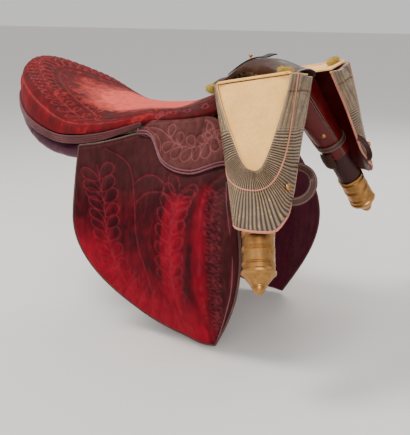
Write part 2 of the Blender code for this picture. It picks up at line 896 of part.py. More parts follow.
def make_stirrup_bars():
    """A forged bar that stands off the tree and is open to the rear, with its hinged catch."""
    for name, side in SIDES:
        root = bar_root()
        points = (
            root,
            root + Vector((0.0, BAR_STAND_OFF * 0.8, -0.001)),
            root + Vector((-0.006, BAR_STAND_OFF, -0.002)),
            root + Vector((-BAR_LENGTH / 2, BAR_STAND_OFF, -0.006)),
            root + Vector((-BAR_LENGTH, BAR_STAND_OFF, -0.010)),
        )
        path = [Vector((p.x, p.y * side, p.z)) for p in smooth_path(points, 13)]
        tube(name + "_stirrup_bar", path, BAR_RADIUS, iron("stirrup_bar"), 8)
        catch = catch_root()
        half = CATCH_HALF
        loops = []
        for along, high in ((-0.97 * half, 0.25), (-0.75 * half, 0.66), (-0.4 * half, 0.91),
                            (0.0, 1.0), (CATCH_LENGTH * 0.6, 1.0), (CATCH_LENGTH - half, 0.5)):
            base = catch + Vector((-along, 0, 0))
            loop = []
            for dy, dz in ((-half, -half), (half, -half), (half, half), (-half, half)):
                loop.append(Vector((base.x, (base.y + dy) * side, base.z + dz * high)))
            loops.append(loop)
        loft(name + "_bar_catch", loops, iron("catch"))


def bar_root():
    """Where the bar leaves the outer edge of the tree."""
    point = seat_point(BAR_DEGREES, TREE_OUTER_SHARE, TREE_DROP + TREE_THICKNESS / 2)
    return Vector((point.x, point.y + GAP * 2, point.z))


def catch_root():
    """The catch's pin, in the middle of its rounded end."""
    return bar_root() + Vector((-BAR_LENGTH - GAP * 2 - CATCH_HALF, BAR_STAND_OFF, -0.010))


# Crupper staple

def make_crupper_staple():
    """Iron staple under the back of the cantle, for the strap to the tail."""
    half = 0.016
    back = 0.052
    x = SEAT_CENTRE_X - CANTLE_REACH * 0.74
    z = tree_under(x, half) - 0.003 - GAP
    points = (
        Vector((x, -half, z)),
        Vector((x - back * 0.55, -half, z - 0.004)),
        Vector((x - back * 0.9, -half * 0.7, z - 0.010)),
        Vector((x - back, 0.0, z - 0.012)),
        Vector((x - back * 0.9, half * 0.7, z - 0.010)),
        Vector((x - back * 0.55, half, z - 0.004)),
        Vector((x, half, z)),
    )
    tube("crupper_staple", smooth_path(points, 15), 0.003, iron("staple"), 8)


# Holsters

def holster_frame(side):
    """Mouth, axis, forward and inward directions of a holster on the horse's left."""
    mouth = Vector(HOLSTER_MOUTH)
    axis = (Vector(HOLSTER_TIP) - mouth).normalized()
    forward = Vector((1, 0, 0))
    forward = (forward - axis * forward.dot(axis)).normalized()
    inward = axis.cross(forward)
    return mouth, axis, forward, inward


def holster_ring(s, along, across, side, count, shift=0.0):
    mouth, axis, forward, inward = holster_frame(side)
    loop = []
    for k in range(count):
        turn = 2 * math.pi * k / count
        point = mouth + axis * s + inward * shift
        point = point + forward * (along * math.cos(turn)) + inward * (across * math.sin(turn))
        loop.append(Vector((point.x, point.y * side, point.z)))
    return loop


def sleeve_size(s):
    t = ease(s / SLEEVE_LENGTH)
    end = HOLSTER_TUBE_RADIUS + SLEEVE_WALL + LAYER_GAP
    along = mix(SLEEVE_MOUTH_ALONG, end, t)
    across = mix(SLEEVE_MOUTH_ACROSS, end, t)
    shift = mix(SLEEVE_MOUTH_SHIFT, 0.0, t)
    return along, across, shift


def make_holsters():
    count = HOLSTER_SIDES
    for name, side in SIDES:
        tube_inner = HOLSTER_TUBE_RADIUS - HOLSTER_TUBE_WALL
        floor = FERRULE_COLLAR - 0.004
        rings = [
            (floor - HOLSTER_TUBE_WALL, tube_inner),
            (HOLSTER_TUBE_START, tube_inner),
            (HOLSTER_TUBE_START, HOLSTER_TUBE_RADIUS),
            (HOLSTER_TUBE_START + 0.08, HOLSTER_TUBE_RADIUS),
            (floor, HOLSTER_TUBE_RADIUS),
        ]
        loops = [holster_ring(s, r, r, side, count) for s, r in rings]
        loft(name + "_holster_tube", loops, dark_leather("holster_tube"))

        loops = []
        for k in range(6):
            s = SLEEVE_LENGTH * k / 5
            along, across, shift = sleeve_size(s)
            loops.append(holster_ring(s, along, across, side, count, shift))
        for k in range(5, -1, -1):
            s = SLEEVE_LENGTH * k / 5
            along, across, shift = sleeve_size(s)
            loops.append(holster_ring(
                s, along - SLEEVE_WALL, across - SLEEVE_WALL, side, count, shift))
        loft(name + "_holster_sleeve", loops, red_leather("holster"), closed=True)

        bore = HOLSTER_TUBE_RADIUS + GAP
        top = FERRULE_COLLAR
        outside = FERRULE_RADIUS
        rings = [
            (top - 0.003, bore),
            (FERRULE_START, bore),
            (FERRULE_START, outside + 0.0012),
            (FERRULE_START + 0.004, outside + 0.0012),
            (FERRULE_START + 0.005, outside),
            (FERRULE_START + 0.030, outside),
            (FERRULE_START + 0.032, outside + 0.0010),
            (FERRULE_START + 0.034, outside),
            (top - 0.007, outside),
            (top - 0.005, FERRULE_COLLAR_RADIUS),
            (top, FERRULE_COLLAR_RADIUS),
            (top + 0.003, outside - 0.002),
            (top + FERRULE_CONE - 0.004, 0.0085),
            (top + FERRULE_CONE + 0.003, 0.0090),
            (top + FERRULE_CONE + 0.008, 0.0075),
            (top + FERRULE_CONE + 0.011, 0.0030),
        ]
        loops = [holster_ring(s, r, r, side, count) for s, r in rings]
        loft(name + "_holster_ferrule", loops, brass("ferrule"), smooth=28.0)


def make_holster_keepers():
    """Strap sewn round each holster, and the half round pad below it on the inner side."""
    for name, side in SIDES:
        loops = []
        for s, proud in ((0.0, 0.0), (0.0, 1.0), (1.0, 1.0), (1.0, 0.0)):
            place = SLEEVE_LENGTH - KEEPER_FROM_END + KEEPER_WIDTH * s
            along, across, shift = sleeve_size(place)
            out = LAYER_GAP + KEEPER_THICKNESS * proud
            ring = holster_ring(place, along + out, across + out, side, HOLSTER_SIDES, shift)
            loops.append(ring)
        loft(name + "_holster_keeper", loops, dark_leather("keeper"), closed=True)

        outer = []
        inner = []
        for i in range(6):
            run = i / 5
            place = SLEEVE_LENGTH - PAD_FROM_END + PAD_LENGTH * run
            along, across, shift = sleeve_size(place)
            full = math.sqrt(max(0.0, 1 - (2 * run - 1) ** 2))
            narrow = mix(0.45, 1.0, math.sqrt(1 - run ** 3))
            face = []
            back = []
            for j in range(7):
                w = j / 6
                middle = (PAD_FIRST_TURN + PAD_LAST_TURN) / 2
                spread = (PAD_LAST_TURN - PAD_FIRST_TURN) / 2 * narrow
                turn = middle + spread * (2 * w - 1)
                plump = 0.15 + 0.85 * full * math.sin(math.pi * w) ** 0.5
                out = LAYER_GAP * 1.5
                for skin, radius in ((back, out), (face, out + PAD_DEPTH * plump)):
                    point = holster_spot(place, along + radius, across + radius, turn, shift)
                    skin.append(Vector((point.x, point.y * side, point.z)))
            outer.append(face)
            inner.append(back)
        sheet_solid(name + "_holster_pad", outer, inner, dark_leather("holster_pad"))


def holster_spot(s, along, across, degrees, shift):
    """A point round the holster on the horse's left; ninety degrees is its inner side."""
    mouth, axis, forward, inward = holster_frame(1)
    turn = math.radians(degrees)
    point = mouth + axis * s + inward * shift
    return point + forward * (along * math.cos(turn)) + inward * (across * math.sin(turn))


# Holster covers

def cover_form(u, v):
    """A point on the wrap of the left cover: u runs round from the rear wing to the front wing,
    v from the top fold down to the hem."""
    v = min(v, 1.0)
    hinge_rise = COVER_TOP_SLOPE * (1 - v) ** 1.5
    front_turn = mix(132.0, 104.0, v)
    rear_turn = mix(-112.0, -98.0, v)
    turn = math.radians(mix(rear_turn, front_turn, (u + 1) / 2))
    power = mix(0.42, 0.92, ease(v))
    c = math.copysign(abs(math.cos(turn)) ** power, math.cos(turn))
    s = math.copysign(abs(math.sin(turn)) ** power, math.sin(turn))
    along = mix(COVER_TOP_ALONG, COVER_HEM_ALONG, v)
    across = mix(COVER_TOP_ACROSS, COVER_HEM_ACROSS, v)
    if c < 0:
        across += mix(0.016, 0.0, v)
    x = mix(COVER_TOP_X, COVER_HEM_X, v) + along * s
    y = mix(COVER_TOP_Y, COVER_HEM_Y, v) + across * c
    z = mix(COVER_TOP_Z, COVER_HEM_Z, v)
    z += hinge_rise * (x - COVER_TOP_X - COVER_TOP_ALONG)
    z -= (1 - v) ** 3 * COVER_HINGE_DROP * ease((COVER_TOP_Y + 0.03 - y) / 0.06)
    corner = ease((abs(u) - 0.45) / 0.55)
    z += COVER_CORNER_RISE * corner * ease((v - 0.70) / 0.30)
    return Vector((x, y, z))


def cover_point(u, v, out, side):
    """A point on the wrap, moved out from it along its slope."""
    step = 0.03
    run_u = cover_form(u + step, v) - cover_form(u - step, v)
    run_v = cover_form(u, min(v + step, 1.0)) - cover_form(u, max(v - step, 0.0))
    facing = run_u.cross(run_v).normalized()
    point = cover_form(u, v) + facing * out
    return Vector((point.x, point.y * side, point.z))


def lace_border(t):
    """Inner and outer edge of the lace, t running from the rear top round the hem to the front."""
    low = LACE_V_DEPTH
    share = LACE_V_SHARE
    bend = abs(t - 0.5) * 2
    hand = -1 if t < 0.5 else 1
    if bend > 0.42:
        run = (bend - 0.42) / 0.58
        v_in = mix(low * 0.80, 0.006, run)
        u_in = hand * mix(share * 0.20, share, run)
    else:
        turn = bend / 0.42 * math.pi / 2
        v_in = low * (0.80 + 0.20 * math.cos(turn))
        u_in = hand * share * 0.20 * math.sin(turn)
    if bend > 0.36:
        run = (bend - 0.36) / 0.64
        v_out = mix(0.97, 0.006, run)
        u_out = hand * 0.975
    else:
        u_out = hand * 0.975 * bend / 0.36
        v_out = 0.975
    return (u_in, v_in), (u_out, v_out), bend


def make_cover_wraps():
    """Felt wrap that hangs over the holster's outer side, with a wing before and behind it."""
    for name, side in SIDES:
        outer = []
        inner = []
        for i in range(LACE_STEPS + 1):
            first, last = lace_border(i / LACE_STEPS)[:2]
            middle = (0.0, min(first[1], LACE_V_DEPTH * 0.80))
            places = [(mix(middle[0], first[0], w), mix(middle[1], first[1], w))
                      for w in (0.0, 0.60)]
            places += [(mix(first[0], last[0], w / 3), mix(first[1], last[1], w / 3))
                       for w in range(4)]
            outer.append([cover_point(u, v, 0.0, side) for u, v in places])
            inner.append([cover_point(u, v, -COVER_THICKNESS, side) for u, v in places])
        sheet_solid(name + "_cover_wrap", outer, inner, felt("cover"))


def make_cover_lace():
    """Braid sewn over the wrap outside the felt V, pleated where it turns round the bend."""
    steps = LACE_STEPS
    rows = 3
    for name, side in SIDES:
        outer = []
        inner = []
        for i in range(steps + 1):
            t = i / steps
            first, last, bend = lace_border(t)
            ripple = LACE_PLEAT_DEPTH * (i % 2) * (1 - ease((bend - 0.55) / 0.1))
            face = []
            back = []
            for j in range(rows + 1):
                w = j / rows
                u = mix(first[0], last[0], w)
                v = mix(first[1], last[1], w)
                face.append(cover_point(u, v, LACE_GAP + LACE_THICKNESS - ripple, side))
                back.append(cover_point(u, v, LACE_GAP, side))
            outer.append(face)
            inner.append(back)
        sheet_solid(name + "_cover_lace", outer, inner, lace("cover"))


def cover_hinge_y():
    """The covers turn up along the sides of the bridge."""
    return BRIDGE_HALF + LAYER_GAP


def cover_top_line(x):
    """Height of the cover's fold at a place along it."""
    return COVER_TOP_Z + COVER_TOP_SLOPE * (x - COVER_TOP_X - COVER_TOP_ALONG)


def make_cover_tops():
    """Flat top of each cover, from its hinge beside the bridge to the outer fold."""
    for name, side in SIDES:
        outer = []
        inner = []
        rear = COVER_TOP_X - COVER_TOP_ALONG + 0.0052
        front = COVER_TOP_X + COVER_TOP_ALONG - 0.006
        for i in range(7):
            x = mix(rear, front, i / 6)
            corner = 0.006 * (1 if i in (0, 6) else 0)
            face = []
            back = []
            for j in range(4):
                w = j / 3
                y = mix(cover_hinge_y(), COVER_TOP_Y + COVER_TOP_ACROSS - corner, w)
                z = cover_top_line(x) - COVER_HINGE_DROP * (1 - w) + 3 * GAP
                face.append(Vector((x, y * side, z + COVER_THICKNESS)))
                back.append(Vector((x, y * side, z)))
            outer.append(face)
            inner.append(back)
        sheet_solid(name + "_cover_top", outer, inner, felt("cover"))


def make_cover_rolls():
    """Rolled ends of the braid on the front and rear corners of each cover's top."""
    rear_x = COVER_TOP_X - COVER_TOP_ALONG - REAR_ROLL_RADIUS - LACE_THICKNESS * 1.4
    front_x = COVER_TOP_X + COVER_TOP_ALONG - FRONT_ROLL_BACK
    last = COVER_TOP_Y + COVER_TOP_ACROSS - 0.006
    for name, side in SIDES:
        for label, x, radius, lift in (
            ("rear", rear_x, REAR_ROLL_RADIUS, -0.004),
            ("front", front_x, FRONT_ROLL_RADIUS, COVER_THICKNESS + FRONT_ROLL_RADIUS + GAP * 4),
        ):
            points = []
            for k in range(5):
                y = last - ROLL_LENGTH * (1 - k / 4)
                drop = COVER_HINGE_DROP * (COVER_TOP_Y + COVER_TOP_ACROSS - y) / 0.089
                points.append(Vector((x, y * side, cover_top_line(x) + lift - drop)))
            tube(f"{name}_{label}_cover_roll", points, radius, lace("roll"), 10)


def make_cover_studs():
    for name, side in SIDES:
        base = cover_point(0.62, 0.72, LACE_GAP + GAP * 2, side)
        near = cover_point(0.62, 0.72, 0.010, side)
        away = (near - base).normalized()
        points = ((0.0, 0.0030), (0.002, 0.0026), (0.003, 0.0050), (0.006, 0.0058),
                  (0.008, 0.0045), (0.009, 0.0020))
        lead = away.orthogonal().normalized()
        other = away.cross(lead)
        loops = []
        for h, r in points:
            loops.append([
                base + away * h
                + (lead * math.cos(math.tau * k / 10) + other * math.sin(math.tau * k / 10)) * r
                for k in range(10)
            ])
        loft(name + "_cover_stud", loops, brass("stud"), smooth=30.0)


def make_cover_straps():
    """Leather loop on the front wing of each cover, for the thong that holds the cover down."""
    lift = LACE_GAP + LACE_THICKNESS
    for (name, side), reach in zip(SIDES, (RIGHT_LOOP_REACH, LEFT_LOOP_REACH)):
        low = cover_point(0.95, LOOP_LOW, lift, 1)
        high = cover_point(0.95, LOOP_HIGH, lift, 1)
        facing = Vector((0.3, 1.0, 0.0)).normalized()
        away = Vector((1.0, -0.3, 0.0)).normalized()
        middle = (low + high) / 2
        path = []
        for k in range(17):
            turn = math.pi * k / 16
            point = middle + (low - high) / 2 * math.cos(turn) + away * (reach * math.sin(turn))
            path.append(point + facing * (0.002 * math.sin(turn)))
        outer = []
        inner = []
        for k, point in enumerate(path):
            run = (path[min(k + 1, 16)] - path[max(k - 1, 0)]).normalized()
            across = run.cross(facing).normalized()
            face = []
            back = []
            for n in range(3):
                place = point + across * (LOOP_WIDTH * (n / 2 - 0.5))
                under = place - facing * LOOP_THICKNESS
                face.append(Vector((place.x, place.y * side, place.z)))
                back.append(Vector((under.x, under.y * side, under.z)))
            outer.append(face)
            inner.append(back)
        sheet_solid(name + "_cover_strap", outer, inner, dark_leather("cover_strap"))


# Bridge over the pommel

def bridge_height(x, y):
    """Height of the bridge's upper face over its flat part."""
    run = (x - BRIDGE_REAR_X) / (BRIDGE_FRONT_X - BRIDGE_REAR_X)
    sweep = -0.038 * (1 - ease(run / 0.45)) - 0.016 * ease((run - 0.6) / 0.4)
    return BRIDGE_TOP_Z + sweep - 0.010 * (abs(y) / BRIDGE_HALF) ** 2.4


def bridge_leg(x, w, side):
    """A point on the leg from the bridge's side down the inner side of the holster."""
    top = Vector((BRIDGE_HALF - LAYER_GAP, bridge_height(x, BRIDGE_HALF) - 0.006))
    knee = Vector(BRIDGE_KNEE)
    foot = Vector(BRIDGE_FOOT)
    place = top.lerp(knee, w / 0.6) if w < 0.6 else knee.lerp(foot, (w - 0.6) / 0.4)
    return Vector((x, place.x * side, place.y))


def make_bridge():
    """Leather arch over the pommel, with a leg down the inner side of each holster."""
    outer = []
    inner = []
    columns = 12
    for i in range(columns + 1):
        x = mix(BRIDGE_REAR_X, BRIDGE_FRONT_X, i / columns)
        legs = abs(x - BRIDGE_LEG_X) < BRIDGE_LEG_HALF
        face = []
        for w in (1.0, 0.8, 0.6, 0.3, 0.04):
            face.append(bridge_leg(x, w if legs else 0.04 * w, -1))
        for j in range(9):
            y = mix(-BRIDGE_HALF, BRIDGE_HALF, j / 8)
            face.append(Vector((x, y, bridge_height(x, y))))
        for w in (0.04, 0.3, 0.6, 0.8, 1.0):
            face.append(bridge_leg(x, w if legs else 0.04 * w, 1))
        back = []
        for k, point in enumerate(face):
            if k < 5:
                back.append(point + Vector((0, BRIDGE_THICKNESS, 0)))
            elif k > 13:
                back.append(point - Vector((0, BRIDGE_THICKNESS, 0)))
            else:
                back.append(Vector((x, point.y * 0.94, point.z - BRIDGE_THICKNESS)))
        outer.append(face)
        inner.append(back)
    return sheet_solid("holster_bridge", outer, inner, dark_leather("bridge"))


def make_bridge_pad():
    """Stuffed pad that bears the bridge on the pommel."""
    outer = []
    inner = []
    for i in range(6):
        x = mix(BRIDGE_REAR_X + 0.002, BRIDGE_REAR_X + 0.046, i / 5)
        face = []
        back = []
        for j in range(9):
            y = mix(-BRIDGE_PAD_HALF, BRIDGE_PAD_HALF, j / 8)
            top = bridge_height(x, y) - BRIDGE_THICKNESS - 2 * LAYER_GAP
            face.append(Vector((x, y, top)))
            back.append(Vector((x, y, seat_top(x, y) + 1.5 * LAYER_GAP)))
        outer.append(face)
        inner.append(back)
    return sheet_solid("bridge_pad", outer, inner, dark_leather("bridge_pad"))


def strap_centre(w):
    """Middle line of the strap over the bridge in plan."""
    x = mix(STRAP_START[0], STRAP_END[0], w)
    y = mix(STRAP_START[1], STRAP_END[1], w)
    return x, y


def make_bridge_strap():
    """Black strap laid across the bridge with a free end, held down by a knob."""
    outer = []
    inner = []
    for k in range(11):
        x, y = strap_centre(k / 10)
        lift = LAYER_GAP + STRAP_LIFT * ease((k / 10 - 0.75) / 0.25)
        face = []
        back = []
        for n in range(4):
            place = x + STRAP_WIDTH * (n / 3 - 0.5)
            z = bridge_height(place, y) + lift
            face.append(Vector((place, y, z + STRAP_THICKNESS)))
            back.append(Vector((place, y, z)))
        outer.append(face)
        inner.append(back)
    sheet_solid("bridge_strap", outer, inner, finish("black_leather", (0.012, 0.010, 0.011), 0.45))
    x, y = strap_centre(0.45)
    base = Vector((x, y, bridge_height(x, y) + STRAP_THICKNESS + 2 * LAYER_GAP))
    loops = []
    for h, r in ((0.0, 0.6), (0.35, 0.45), (0.55, 0.9), (0.8, 1.0), (1.0, 0.5)):
        loops.append([
            base + Vector((math.cos(math.tau * n / 10) * r * KNOB_RADIUS,
                           math.sin(math.tau * n / 10) * r * KNOB_RADIUS, h * KNOB_HEIGHT))
            for n in range(10)
        ])
    loft("bridge_knob", loops, brass("knob"))


# Joint axes

def flap_axis():
    """Two points on the line that the flap and the skirt turn up about, on the horse's left."""
    ends = []
    for x in (SKIRT_REAR_X + 0.007, 0.148):
        ends.append(Vector((x, edge_half(x) - 0.0012, edge_height(x) - 0.0004)))
    return ends


def cover_axis():
    """Two points on the upper inner edge of the cover's top, on the horse's left."""
    ends = []
    for x in (COVER_TOP_X - COVER_TOP_ALONG, COVER_TOP_X + COVER_TOP_ALONG):
        z = cover_top_line(x) - COVER_HINGE_DROP + 3 * GAP + COVER_THICKNESS + GAP
        ends.append(Vector((x, cover_hinge_y() - GAP, z)))
    return ends


def hang(name, place, things):
    """Parents things to an empty that stands on their joint's axis."""
    pivot = bpy.data.objects.new(name, None)
    pivot.location = place
    pivot.empty_display_size = 0.02
    bpy.context.scene.collection.objects.link(pivot)
    for thing in things:
        child = bpy.data.objects[thing]
        child.parent = pivot
        child.matrix_parent_inverse = Matrix.Translation(-pivot.location)
    return pivot


def hang_moving_pieces():
    for name, side in SIDES:
        mirror = Matrix.Diagonal((1.0, side, 1.0)).to_4x4()
        flap_place = mirror @ ((flap_axis()[0] + flap_axis()[1]) / 2)
        cover_place = mirror @ ((cover_axis()[0] + cover_axis()[1]) / 2)
        flap_pivot = hang(name + "_flap_hinge", flap_place, [name + "_flap"])
        skirt_pivot = hang(name + "_skirt_hinge", flap_place, [name + "_skirt"])
        skirt_pivot.parent = flap_pivot
        skirt_pivot.matrix_parent_inverse = Matrix.Translation(-flap_pivot.location)
        hang(name + "_cover_hinge", cover_place, [
            name + part for part in (
                "_cover_wrap", "_cover_lace", "_cover_top", "_cover_stud", "_rear_cover_roll",
                "_front_cover_roll", "_cover_strap",
            )
        ])
        hang(name + "_catch_hinge", mirror @ catch_root(), [name + "_bar_catch"])


def main():
    clear_scene()
    make_seat()
    make_cantle_band()
    make_tree()
    make_webbing()
    make_head_plate()
    make_panels()
    make_flaps()
    make_skirts()
    make_billets()
    make_stirrup_bars()
    make_crupper_staple()
    make_holsters()
    make_holster_keepers()
    make_cover_wraps()
    make_cover_lace()
    make_cover_tops()
    make_cover_rolls()
    make_cover_studs()
    make_cover_straps()
    make_bridge()
    make_bridge_pad()
    make_bridge_strap()
    hang_moving_pieces()


main()
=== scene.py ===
# %% [markdown]
# # A military saddle, dressed
# The solids of the saddle are already packed as a fixed frame. This script lays the real
# finishes over them: quilted velvet, felt, pleated braid, leather, brass, wood and iron.
# The frame is loaded first.

# %% Load the frame
import math

import bmesh
import bpy
import numpy as np
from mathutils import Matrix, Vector
from mathutils.kdtree import KDTree


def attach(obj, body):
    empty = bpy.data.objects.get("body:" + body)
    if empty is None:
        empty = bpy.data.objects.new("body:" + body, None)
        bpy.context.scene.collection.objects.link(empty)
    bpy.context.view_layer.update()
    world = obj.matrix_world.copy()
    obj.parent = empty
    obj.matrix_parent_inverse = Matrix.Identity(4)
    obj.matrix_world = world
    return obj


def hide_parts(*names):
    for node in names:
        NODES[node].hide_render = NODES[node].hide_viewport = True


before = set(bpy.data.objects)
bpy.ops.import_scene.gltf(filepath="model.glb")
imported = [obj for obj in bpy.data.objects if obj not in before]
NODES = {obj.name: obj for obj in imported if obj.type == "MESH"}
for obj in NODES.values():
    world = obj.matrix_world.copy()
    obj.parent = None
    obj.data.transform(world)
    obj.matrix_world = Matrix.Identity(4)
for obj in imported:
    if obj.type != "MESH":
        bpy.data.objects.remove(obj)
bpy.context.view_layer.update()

for label in ("Cube", "Light", "Camera"):
    if label in bpy.data.objects:
        bpy.data.objects.remove(bpy.data.objects[label], do_unlink=True)
SIDES = (("right", -1.0), ("left", 1.0))
print("nodes in the frame:", len(NODES))

# %% [markdown]
# ## The forms that the finishes follow
# A finish lies well only if it follows the same surface as the solid below it. The seat is a
# dished surface measured in turns round its centre, so its rim needs three numbers at a few
# places: how far it reaches, how high its edge is and how high its crest is. Smooth curves
# through these numbers give every point between.

# %% Seat surface
SEAT_CENTRE_X = -0.020
SEAT_LOW_Z = 0.038
SEAT_THICKNESS = 0.016
CREST_SHARE = 0.86
RIM_DEGREES = np.array([0.0, 31.0, 69.0, 126.0, 153.0, 180.0])
RIM_REACH = np.array([0.216, 0.197, 0.126, 0.202, 0.272, 0.330])
RIM_EDGE = np.array([0.076, 0.040, 0.022, -0.009, 0.022, 0.068])
RIM_CREST = np.array([0.086, 0.051, 0.031, 0.020, 0.082, 0.127])


def ease(t):
    t = np.clip(t, 0.0, 1.0)
    return t * t * (3 - 2 * t)


def mix(a, b, t):
    return a + (b - a) * t


def unit(rows):
    """Rows of vectors, each made one long."""
    return rows / np.linalg.norm(rows, axis=-1, keepdims=True)


def grid(first, second):
    return np.meshgrid(first, second, indexing="ij")


def run_along(points):
    """Length along a line at each of its points."""
    return np.concatenate([[0], np.cumsum(np.linalg.norm(np.diff(points, axis=0), axis=1))])


def smooth_curve(places, values, x):
    """Smooth curve through keys, level at both ends."""
    x = np.clip(np.asarray(x, float), places[0], places[-1])
    k = np.clip(np.searchsorted(places, x, side="right") - 1, 0, len(places) - 2)
    slopes = np.zeros(len(places))
    slopes[1:-1] = (values[2:] - values[:-2]) / (places[2:] - places[:-2])
    span = places[k + 1] - places[k]
    t = (x - places[k]) / span
    h = t * t * (3 - 2 * t)
    bend = slopes[k] * span * t * (1 - t) ** 2 - slopes[k + 1] * span * t * t * (1 - t)
    return values[k] * (1 - h) + values[k + 1] * h + bend


def rim(degrees):
    turn = np.abs(degrees)
    return [smooth_curve(RIM_DEGREES, row, turn) for row in (RIM_REACH, RIM_EDGE, RIM_CREST)]


def seat_points(degrees, share):
    """The seat's upper face, at an angle from straight ahead and a share of the reach."""
    degrees, share = np.broadcast_arrays(np.asarray(degrees, float), np.asarray(share, float))
    reach, edge, crest = rim(degrees)
    bowl = mix(SEAT_LOW_Z, crest, (share / CREST_SHARE) ** 2.1)
    over = np.clip((share - CREST_SHARE) / (1 - CREST_SHARE), 0, 1)
    roll = mix(edge, crest, np.sqrt(np.clip(1 - over ** 2.4, 0, 1)))
    z = np.where(share <= CREST_SHARE, bowl, roll)
    turn = np.radians(degrees)
    x = SEAT_CENTRE_X + reach * share * np.cos(turn)
    return np.stack([x, reach * share * np.sin(turn), z], -1)


EDGE = seat_points(np.arange(30.0, 151.0), 1.0)
EDGE = EDGE[np.argsort(EDGE[:, 0])]
print("seat length", round(float(RIM_REACH[0] + RIM_REACH[-1]), 3), "m")

# %% [markdown]
# The flaps and skirts hang from the seat's edge and lie on one side surface. Its half width is
# known for every place in side view, so a grid drawn in side view can be laid onto it.

# %% Side surface
FLAP_BASE_Z = -0.390
FLAP_REAR_X = -0.094
FLAP_RIDGE_X = 0.178
SKIRT_REAR_X = 0.018
SKIRT_FRONT_X = 0.214
SKIRT_GAP = 0.0018
BAND_HEIGHT = 0.016
LAYER_GAP = 0.0008
SIDE_BASE = (0.140, 0.158)
SIDE_BULGE = (0.036, 0.067)
RIDGE_HEIGHT = 0.009
RIDGE_WIDTH = 0.030


def edge_half(x):
    return np.interp(x, EDGE[:, 0], EDGE[:, 1])


def edge_height(x):
    return np.interp(x, EDGE[:, 0], EDGE[:, 2])


def side_half(x, z):
    top_z = edge_height(x)
    w = np.clip((top_z - z) / (top_z - FLAP_BASE_Z), 0.0, 1.05)
    swell = np.sin(np.pi * np.minimum(w, 1.0) ** 1.1)
    forward = ease((x - FLAP_REAR_X) / (FLAP_RIDGE_X - FLAP_REAR_X))
    base, bulge = mix(*SIDE_BASE, forward), mix(*SIDE_BULGE, forward)
    ridge = RIDGE_HEIGHT * np.exp(-((x - FLAP_RIDGE_X) / RIDGE_WIDTH) ** 2) * ease(w * 4)
    return mix(edge_half(x) + LAYER_GAP, base, w) + bulge * swell + ridge


def on_side(x, z, out, side):
    """Points on the side surface, moved out along its slope."""
    x = np.asarray(x, float)
    z = np.asarray(z, float)
    step = 0.002
    slope_z = (side_half(x, z - step) - side_half(x, z + step)) / (2 * step)
    slope_x = (side_half(x + step, z) - side_half(x - step, z)) / (2 * step)
    facing = unit(np.stack([-slope_x, np.ones_like(x), slope_z], -1))
    out = np.broadcast_to(np.asarray(out, float), x.shape)
    points = np.stack([x, side_half(x, z), z], -1) + facing * out[..., None]
    points[..., 1] *= side
    return points


print("half width at the girth", round(float(side_half(0.15, -0.2)), 3), "m")

# %% [markdown]
# ## Tools of the bench
# Most pieces here are sheets: two grids of points, one for the face and one for the back,
# joined round the border. Building them as arrays keeps a fine grid quick, and numbers that
# belong to a point, such as how near it is to a seam, ride along as attributes.

# %% Sheets and rings
def linked(name, data):
    """A new object in the scene."""
    thing = bpy.data.objects.new(name, data)
    bpy.context.scene.collection.objects.link(thing)
    return thing


def evaluated_mesh(thing):
    sight = bpy.context.evaluated_depsgraph_get()
    return bpy.data.meshes.new_from_object(thing.evaluated_get(sight))


def shade(mesh, angle):
    mesh.shade_smooth()
    mesh.set_sharp_from_angle(angle=math.radians(angle))


def keep_mesh(name, points, faces, materials, attributes, smooth):
    """A new object from points and faces, its faces outward and its attributes stored."""
    mesh = bpy.data.meshes.new(name)
    mesh.from_pydata(np.asarray(points, float).tolist(), [], [list(f) for f in faces])
    for label, values in (attributes or {}).items():
        layer = mesh.attributes.new(label, "FLOAT", "POINT")
        layer.data.foreach_set("value", np.asarray(values, np.float32).ravel())
    bm = bmesh.new()
    bm.from_mesh(mesh)
    bmesh.ops.remove_doubles(bm, verts=bm.verts, dist=0.00002)
    bmesh.ops.recalc_face_normals(bm, faces=bm.faces)
    bm.to_mesh(mesh)
    bm.free()
    shade(mesh, smooth)
    for material in materials:
        mesh.materials.append(material)
    return linked(name, mesh)


def grid_faces(rows, columns, start=0, wrap=False):
    i = np.arange(rows - 1)[:, None]
    j = np.arange(columns if wrap else columns - 1)[None, :]
    k = (j + 1) % columns
    quads = np.stack([i * columns + j, (i + 1) * columns + j,
                      (i + 1) * columns + k, i * columns + k], -1)
    return (quads.reshape(-1, 4) + start).tolist()


def sheet_piece(name, face, back, materials, attributes=None, smooth=50.0):
    """Two grids joined round their border into one closed sheet."""
    rows, columns = face.shape[:2]
    count = rows * columns
    points = np.concatenate([face.reshape(-1, 3), back.reshape(-1, 3)])
    faces = grid_faces(rows, columns)
    faces += [f[::-1] for f in grid_faces(rows, columns, count)]
    border = [(0, j) for j in range(columns)] + [(i, columns - 1) for i in range(1, rows)]
    border += [(rows - 1, j) for j in range(columns - 2, -1, -1)]
    border += [(i, 0) for i in range(rows - 2, 0, -1)]
    spots = [i * columns + j for i, j in border]
    for a, b in zip(spots, spots[1:] + spots[:1]):
        faces.append((b, a, a + count, b + count))
    kept = {k: np.tile(np.ravel(v), 2) for k, v in (attributes or {}).items()}
    thing = keep_mesh(name, points, faces, materials, kept, smooth)
    if len(materials) > 1:
        marks = np.zeros(len(thing.data.polygons), np.int32)
        marks[len(marks) // 2 - len(border) // 2:] = 1
        thing.data.polygons.foreach_set("material_index", marks)
    return thing


